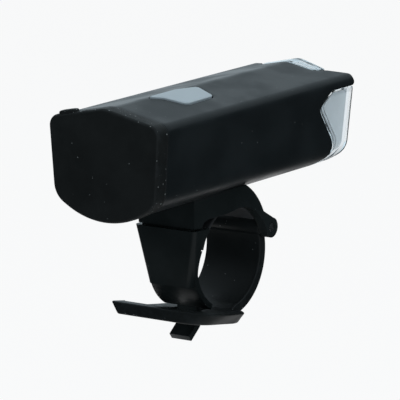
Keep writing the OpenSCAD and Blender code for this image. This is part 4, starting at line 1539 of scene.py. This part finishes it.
@dataclass
class Strap:
    """Rubber strap as one piece: eye, round stretch, free end with its window, and flared pull.

    The far end of the pull is cut off straight, and the near end is swept round. Each half is a distance from
    the strap's middle, and x is counted from the clamp's axis.
    """

    inner_radius: float = 13.0
    thick: float = 2.6
    tail_thick: float = 1.85
    width: float = 17.0
    edge: float = 0.45
    tail_angle: float = 6.1
    eye_angle: float = 16.0
    eye_radius: float = 2.3
    eye_edge: float = 0.25
    pin_radius: float = 1.25
    pull_back: float = 20.0
    far_half: float = 15.9
    far_flare: float = 1.6
    far_corner: float = 0.9
    eye_corner: float = 1.2
    near_half: float = 18.6
    near_sweep: float = 10.5
    near_straight: float = 4.0
    near_power: float = 2.7
    pull_height: float = 3.2
    pull_sunk: float = 0.1
    pull_lip: float = 3.5
    lip_soft: float = 0.4
    flare_stop: float = 5.0
    far_undercut: float = 2.4
    near_undercut: float = 4.6
    slant: float = 0.7
    slant_back: float = 3.0
    window: tuple[float, float] = (-2.25, -16.3)
    window_half: float = 3.6
    window_radius: float = 1.3
    flex_x: float = 1.0
    flex_soft: float = 2.0
    flex_ends: tuple[Point, Point] = ((3.5, 0, -15), (-1.5, 0, -15))
    net_start: float = 0.4
    net_along: float = 0.5
    net_across: float = 0.75
    net_half: float = 18.5

    def __post_init__(self) -> None:
        """Draws the line of the strap's outer face in side view, and measures it."""
        outer = self.inner_radius + self.thick
        leave = -90 - self.tail_angle
        angle = np.radians(np.linspace(self.eye_angle, leave, 90))
        bend = outer * np.stack([np.cos(angle), np.sin(angle)], 1)
        way = np.array([-math.cos(math.radians(self.tail_angle)), math.sin(math.radians(self.tail_angle))])
        reach = (self.pull_back + bend[-1, 0]) / -way[0]
        straight = bend[-1] + np.linspace(0, reach, 30)[1:, None] * way
        self.line = np.concatenate([bend, straight])
        self.along = np.concatenate([[0], np.cumsum(np.linalg.norm(np.diff(self.line, axis=0), axis=1))])
        self.out = np.concatenate([bend / outer, np.repeat(bend[-1:] / outer, len(straight), 0)])
        self.length = self.along[-1]
        self.start = self.at_x(self.flex_x)
        self.turn = self.length - self.near_sweep

    def at_x(self, x: float) -> float:
        """Distance along the lower stretch to a station behind or before the clamp's axis."""
        foremost = int(np.argmax(self.line[:, 0]))
        return float(np.interp(-x, -self.line[foremost:, 0], self.along[foremost:]))

    def far_side(self) -> Array:
        """Far outline: even at first, flared by a power of the distance to the pull, then cut off.

        Returns:
            Points (distance along the strap, distance from its middle), from the eye to the pull.
        """
        at = np.linspace(0, self.length, 160)
        share = np.clip((at - self.start) / (self.length - self.start), 0, 1)
        half = self.width / 2 + (self.far_half - self.width / 2) * share ** self.far_flare
        line = np.stack([at, half], 1)
        kept = line[(at > self.eye_corner) & (at < self.length - 2 * self.far_corner)]
        corner = fillet(kept[-1], line[-1], line[-1] * [1, 0], self.far_corner, 10)[0]
        return np.concatenate([self.eye_end(), kept, corner])

    def eye_end(self) -> Array:
        """Rounded corner of the end that the eye hides, on the far side."""
        half = self.width / 2
        return fillet((0, 0), (0, half), (2 * self.eye_corner, half), self.eye_corner, 8)[0]

    def near_side(self) -> Array:
        """Near outline: an S-curve out to the pull's tip, then a superellipse to its straight rear edge.

        Returns:
            Points (distance along the strap, distance from its middle), from the eye to the pull.
        """
        at = np.linspace(self.eye_corner, self.turn, 120)[1:]
        out = self.width / 2 + (self.near_half - self.width / 2) * smooth(at, self.start, self.turn)
        t = np.linspace(0, math.pi / 2, 60)[1:]
        rear = self.turn + self.near_sweep * swollen(np.sin(t), 2 / self.near_power)
        wide = self.near_half - self.near_straight
        side = self.near_straight + wide * swollen(np.cos(t), 2 / self.near_power)
        return np.concatenate([self.eye_end() * [1, -1], np.stack([at, -out], 1), np.stack([rear, -side], 1)])

    def from_rim(self, at: Array, across: Array) -> Array:
        """Distance inside the pull's rim.

        On the far side it is taken from the rear edge or the slanting far end, whichever is nearer. On the
        near side it comes from the superellipse's level: the root of the summed powers of two shares.

        Args:
            at: Distance along the strap.
            across: Distance from its middle, positive on the far side.

        Returns:
            The distance.
        """
        far_end = self.far_half - across + self.slant * np.clip(self.length - self.slant_back - at, 0, None)
        far = np.minimum(self.length - at, far_end)
        back = np.clip((at - self.turn) / self.near_sweep, 0, None)
        wide = np.clip((-across - self.near_straight) / (self.near_half - self.near_straight), 0, None)
        level = (back ** self.near_power + wide ** self.near_power) ** (1 / self.near_power)
        return np.where(across > 0, far, (1 - level) * self.near_sweep)

    def thickness(self, at: Array, across: Array) -> Array:
        """Thickness: full at first, thinner on the free end, raised on the lip along the pull's rim.

        Args:
            at: Distance along the strap.
            across: Distance from its middle, positive on the far side.

        Returns:
            The thickness.
        """
        thin = smooth(at, self.start - self.flex_soft, self.start + self.flex_soft)
        body = self.thick + (self.tail_thick - self.thick) * thin
        inward = self.from_rim(at, across)
        lip = 1 - smooth(inward, self.pull_lip - self.lip_soft, self.pull_lip + self.lip_soft)
        return body + (self.pull_height - self.pull_sunk - self.tail_thick) * lip * thin

    def place(self, at: Array, across: Array, depth: Array) -> Array:
        """Points of the strap, whose outer face is drawn in at the pull's ends.

        Args:
            at: Distance along the strap.
            across: Distance from its middle, positive on the far side.
            depth: Depth below the outer face.

        Returns:
            The points.
        """
        x, z, nx, nz = (np.interp(at, self.along, c) for c in (*self.line.T, *self.out.T))
        reach = np.where(across > 0, self.far_half, self.near_half)
        undercut = np.where(across > 0, self.far_undercut, self.near_undercut)
        flare = smooth(at, self.start, self.length - self.flare_stop)
        drawn_in = flare * undercut * (across / reach) ** 2 * (1 - depth / self.thickness(at, across))
        return np.stack([x - depth * nx, across - np.sign(across) * drawn_in, z - depth * nz], -1)

    def sheet(self) -> Patch:
        """The strap's flat pattern, wrapped along its line.

        Returns:
            The closed sheet.
        """
        outline = np.concatenate([self.far_side()[::-1], self.near_side()])
        loop = inside_left(resample(outline, 0.4, closed=True))
        a, b = self.at_x(self.window[0]), self.at_x(self.window[1])
        w = self.window_half
        hole = rounded_loop([(a, -w), (a, w), (b, w), (b, -w)], self.window_radius)
        hole = inside_left(resample(hole, 0.3, closed=True))[::-1]
        along = np.arange(self.net_start, self.length, self.net_along)
        across = np.arange(-self.net_half, self.net_half + 0.1, self.net_across)
        x, y = np.meshgrid(along, across)
        lattice = np.stack([x, y], -1).reshape(-1, 2)
        return CutSheet([(loop, True), (hole, True)], lattice, self.edge).wrap(self.place, self.thickness)

    def eye(self) -> Patch:
        """Eye on the pin: a ring profile with round corners, turned about the pin's axis.

        Returns:
            The closed ring.
        """
        half = self.width / 2
        low, high = box_mm("strap_pin")
        centre = (low + high) / 2
        profile = [(self.eye_radius - h, half - d) for d, h in round_edge(self.edge)]
        profile += [(self.pin_radius + h, half - d) for d, h in round_edge(self.eye_edge)[::-1]]
        profile += [(r, -y) for r, y in profile[::-1]]
        profile = np.array(profile + profile[:1])
        turn = np.linspace(0, 2 * math.pi, 64, endpoint=False)
        r = profile[:, :1]
        x = centre[0] + r * np.cos(turn)
        z = centre[2] + r * np.sin(turn)
        return grid(np.stack([x, np.repeat(profile[:, 1:], len(turn), 1), z], -1))

    def build(self) -> None:
        """Makes the strap with its eye, and dresses it."""
        obj = self.sheet().joined(self.eye()).to_object("rubber_strap")
        blend_piece(obj, (Body.STRAP, Body.TAIL), self.flex_ends, "strap_rubber", "strap_wrap", "strap_end")


@dataclass
class Clamp:
    """Saddle, block with its hook, liner and pin."""

    edge: float = 0.35
    liner_edge: float = 0.2
    pin_edge: float = 0.25

    def build(self) -> None:
        """Makes the clamp's hard pieces."""
        for node, name, edge, slot in (("saddle", "saddle_cradle", self.edge, "clamp_plastic"),
                                       ("rear_hook", "hook_block", self.edge, "clamp_plastic"),
                                       ("bar_pad", "bar_liner", self.liner_edge, "pad_rubber"),
                                       ("strap_pin", "hinge_pin", self.pin_edge, "pin_steel")):
            fit_piece(softened_copy(node, name, edge), Body.LAMP, slot, node)


@dataclass
class RearScrews:
    """The two screws behind the cap, each with a round head and a recess of six lobes."""

    node: str = "bulkhead_screws"
    head: float = 1.2
    shank: float = 1.0
    soft: float = 0.35
    recess: float = 0.95
    lobe: float = 0.14
    depth: float = 0.8

    def build(self) -> None:
        """Makes both screws where the frame has them."""
        low, high = box_mm(self.node)
        radius = (high[2] - low[2]) / 2
        far, near = (self.screw(low[0], high[0], radius, y) for y in (high[1] - radius, low[1] + radius))
        pair = far.joined(near)
        pair.points[:, 2] += low[2] + radius
        fit_piece(pair.to_object("rear_screws"), Body.LAMP, "screw_steel", self.node)

    def screw(self, face: float, tip: float, radius: float, y: float) -> Patch:
        """One screw: rings from tip to head, and a recess whose radius swells with the cosine of six turns.

        Args:
            face: Station of the head's face.
            tip: Station of the shank's tip.
            radius: Radius of the head.
            y: Place of its axis across the lamp.

        Returns:
            The screw, with its axis at height 0.
        """
        t = np.linspace(0, 2 * math.pi, 48, endpoint=False)
        star = self.recess * (1 + self.lobe * np.cos(6 * t))
        under, floor = face + self.head, face + self.depth
        rows = [(tip, 0), (tip, 0.8 * self.shank), (tip - 0.2, self.shank), (under, self.shank)]
        rows += [(under, radius), *((face + h, radius - d) for d, h in round_edge(self.soft))]
        rows += [(face, star), (face + 0.08, 0.93 * star), (floor, 0.88 * star), (floor, 0)]
        rings = [np.stack([np.full_like(t, x), y + r * np.cos(t), r * np.sin(t)], 1) for x, r in rows]
        return grid(np.array(rings))


@dataclass
class Studio:
    """Pale floor, soft cool light, two dark flags for the gloss and the camera at the photograph's angle."""

    azimuth: float = -54.5
    elevation: float = 11.95
    roll: float = 0.73
    distance: float = 1038.0
    pan: tuple[float, float] = (-0.94, 13.45)
    focal_pixels: float = 4080.0
    image_pixels: float = 400.0
    sensor: float = 36.0
    floor_z: float = -170.0
    floor_half: float = 3000.0
    floor_glow: float = 0.9
    flag_away: float = 200.0
    flag_width: float = 700.0
    flag_heights: tuple[float, float] = (-169.0, 110.0)
    ambient: float = 0.5
    tint: Colour = (0.78, 0.92, 1.0)

    def build(self) -> None:
        """Sets up the whole studio."""
        self.camera()
        self.world()
        self.floor()
        self.flag("front_flag", azimuth=-34.0)
        self.flag("rear_flag", azimuth=144.5)
        self.softbox("top_light", place=(100, -100, 900), aim=(0, 0, 25), size=1000, watts=3.2)
        self.softbox("near_light", place=(-700, -900, 500), aim=(0, 0, 10), size=700, watts=1.2)
        bpy.context.scene.view_settings.view_transform = "Standard"

    def camera(self) -> None:
        """Camera whose axes come from its azimuth, elevation and roll."""
        a, e, r = (math.radians(x) for x in (self.azimuth, self.elevation, self.roll))
        level = Vector((math.cos(a), math.sin(a), 0))
        back = Vector((math.sin(a) * math.cos(e), -math.cos(a) * math.cos(e), math.sin(e)))
        upright = back.cross(level)
        right = level * math.cos(r) - upright * math.sin(r)
        up = upright * math.cos(r) + level * math.sin(r)
        data = bpy.data.cameras.new("camera")
        data.sensor_width = self.sensor
        data.lens = self.sensor * self.focal_pixels / self.image_pixels
        data.clip_start = 0.05
        data.clip_end = 20
        place = (right * self.pan[0] + up * self.pan[1] + back * self.distance) * MM
        obj = bpy.data.objects.new("camera", data)
        obj.matrix_world = Matrix.Translation(place) @ Matrix((right, up, back)).transposed().to_4x4()
        bpy.context.scene.collection.objects.link(obj)
        bpy.context.scene.camera = obj

    @staticmethod
    def seen(make: NodeMaker) -> tuple[Socket, Socket]:
        """Whether a ray comes straight from the eye, and whether it does so or by gloss or through glass.

        Args:
            make: Maker of the nodes.

        Returns:
            Two values, each 1 where it is so and 0 elsewhere.
        """
        path = make.add("ShaderNodeLightPath").outputs
        shown = make.math("MAXIMUM", path["Is Camera Ray"], path["Is Glossy Ray"])
        return path["Is Camera Ray"], make.math("MAXIMUM", shown, path["Is Transmission Ray"])

    def world(self) -> None:
        """World that is white to the eye, to gloss and through glass, and a soft cool light to the rest."""
        world = bpy.data.worlds.new("studio")
        make = NodeMaker.fresh(world)
        straight, shown = self.seen(make)
        shade = make.fill(make.add("ShaderNodeBackground"), {
            "Strength": make.ramp(shown, 0.0, 1.0, self.ambient, 1.0),
            "Color": make.blend(straight, (*self.tint, 1.0), (1.0, 1.0, 1.0, 1.0))})
        make.fill(make.add("ShaderNodeOutputWorld"), {"Surface": shade.outputs[0]})
        bpy.context.scene.world = world

    def floor(self) -> None:
        """Wide pale floor, which is nearly white to the eye and still takes the object's shadow."""
        side = np.linspace(-self.floor_half, self.floor_half, 9)
        x, y = np.meshgrid(side, side)
        floor = grid(np.stack([x, y, np.full_like(x, self.floor_z)], -1), around=False).to_object("floor")
        mat = bpy.data.materials.new("pale_floor")
        make = NodeMaker.fresh(mat)
        lit = make.fill(make.add("ShaderNodeBsdfDiffuse"), {"Color": (0.85, 0.85, 0.85, 1.0)})
        glow = make.fill(make.add("ShaderNodeEmission"), {"Color": (1.0, 1.0, 1.0, 1.0)})
        share = make.math("MULTIPLY", self.seen(make)[1], self.floor_glow)
        mix = make.fill(make.add("ShaderNodeMixShader"), {0: share, 1: lit.outputs[0], 2: glow.outputs[0]})
        make.fill(make.add("ShaderNodeOutputMaterial"), {"Surface": mix.outputs[0]})
        floor.data.materials.append(mat)

    def flag(self, name: str, azimuth: float) -> None:
        """Dark upright card that only gloss sees, so that black plastic keeps a dark side.

        Args:
            name: Name of the card.
            azimuth: Direction from the object, in degrees from +X towards +Y.
        """
        a = math.radians(azimuth)
        out = np.array([math.cos(a), math.sin(a), 0])
        along = np.array([-out[1], out[0], 0])
        side = np.linspace(-self.flag_width / 2, self.flag_width / 2, 5)
        middle = self.flag_away * out
        rows = [middle + np.outer(side, along) + [0, 0, z] for z in np.linspace(*self.flag_heights, 5)]
        card = grid(np.array(rows), around=False).to_object(name)
        mat = bpy.data.materials.new(name)
        mat.use_nodes = True
        shader = mat.node_tree.nodes["Principled BSDF"]
        shader.inputs["Base Color"].default_value = (0.01, 0.01, 0.01, 1)
        shader.inputs["Roughness"].default_value = 0.9
        card.data.materials.append(mat)
        card.visible_camera = False
        card.visible_diffuse = False
        card.visible_shadow = False
        card.visible_transmission = False

    def softbox(self, name: str, place: Sequence[float], aim: Sequence[float], size: float,
                watts: float) -> None:
        """Square soft light that looks at a point.

        Args:
            name: Name of the light.
            place: Where it stands, in millimetres.
            aim: Point that it looks at, in millimetres.
            size: Length of its side, in millimetres.
            watts: Its power.
        """
        data = bpy.data.lights.new(name, "AREA")
        data.size = size * MM
        data.energy = watts
        data.color = self.tint
        obj = bpy.data.objects.new(name, data)
        where = Vector(place) * MM
        turn = (Vector(aim) * MM - where).to_track_quat("-Z", "Y")
        obj.matrix_world = Matrix.Translation(where) @ turn.to_matrix().to_4x4()
        obj.visible_camera = False
        bpy.context.scene.collection.objects.link(obj)


INNER_NODES: dict[str, str] = {
    "lens_gasket": "seal_rubber", "led_emitter": "led_phosphor", "led_board": "white_board",
    "heat_sink": "bare_aluminium", "battery_cell": "cell_wrap", "battery_cradle": "cradle_plastic",
    "cell_tabs": "tab_nickel", "control_board": "green_board", "board_screws": "screw_steel",
    "usb_socket": "socket_steel", "tact_switch": "switch_plastic", "indicator_led": "led_resin",
    "rear_bulkhead": "shell_plastic", "saddle_screws": "screw_steel",
}


def main() -> None:
    """Builds the studio and every piece in order."""
    logging.basicConfig(level=logging.INFO, format="%(name)s: %(message)s")
    Studio().build()
    for node, slot in INNER_NODES.items():
        dress_node(node, slot)
    housing = Housing()
    housing.build()
    Optics(housing).build()
    RearCap().build()
    RearScrews().build()
    Clamp().build()
    Strap().build()


if __name__ == "__main__":
    main()
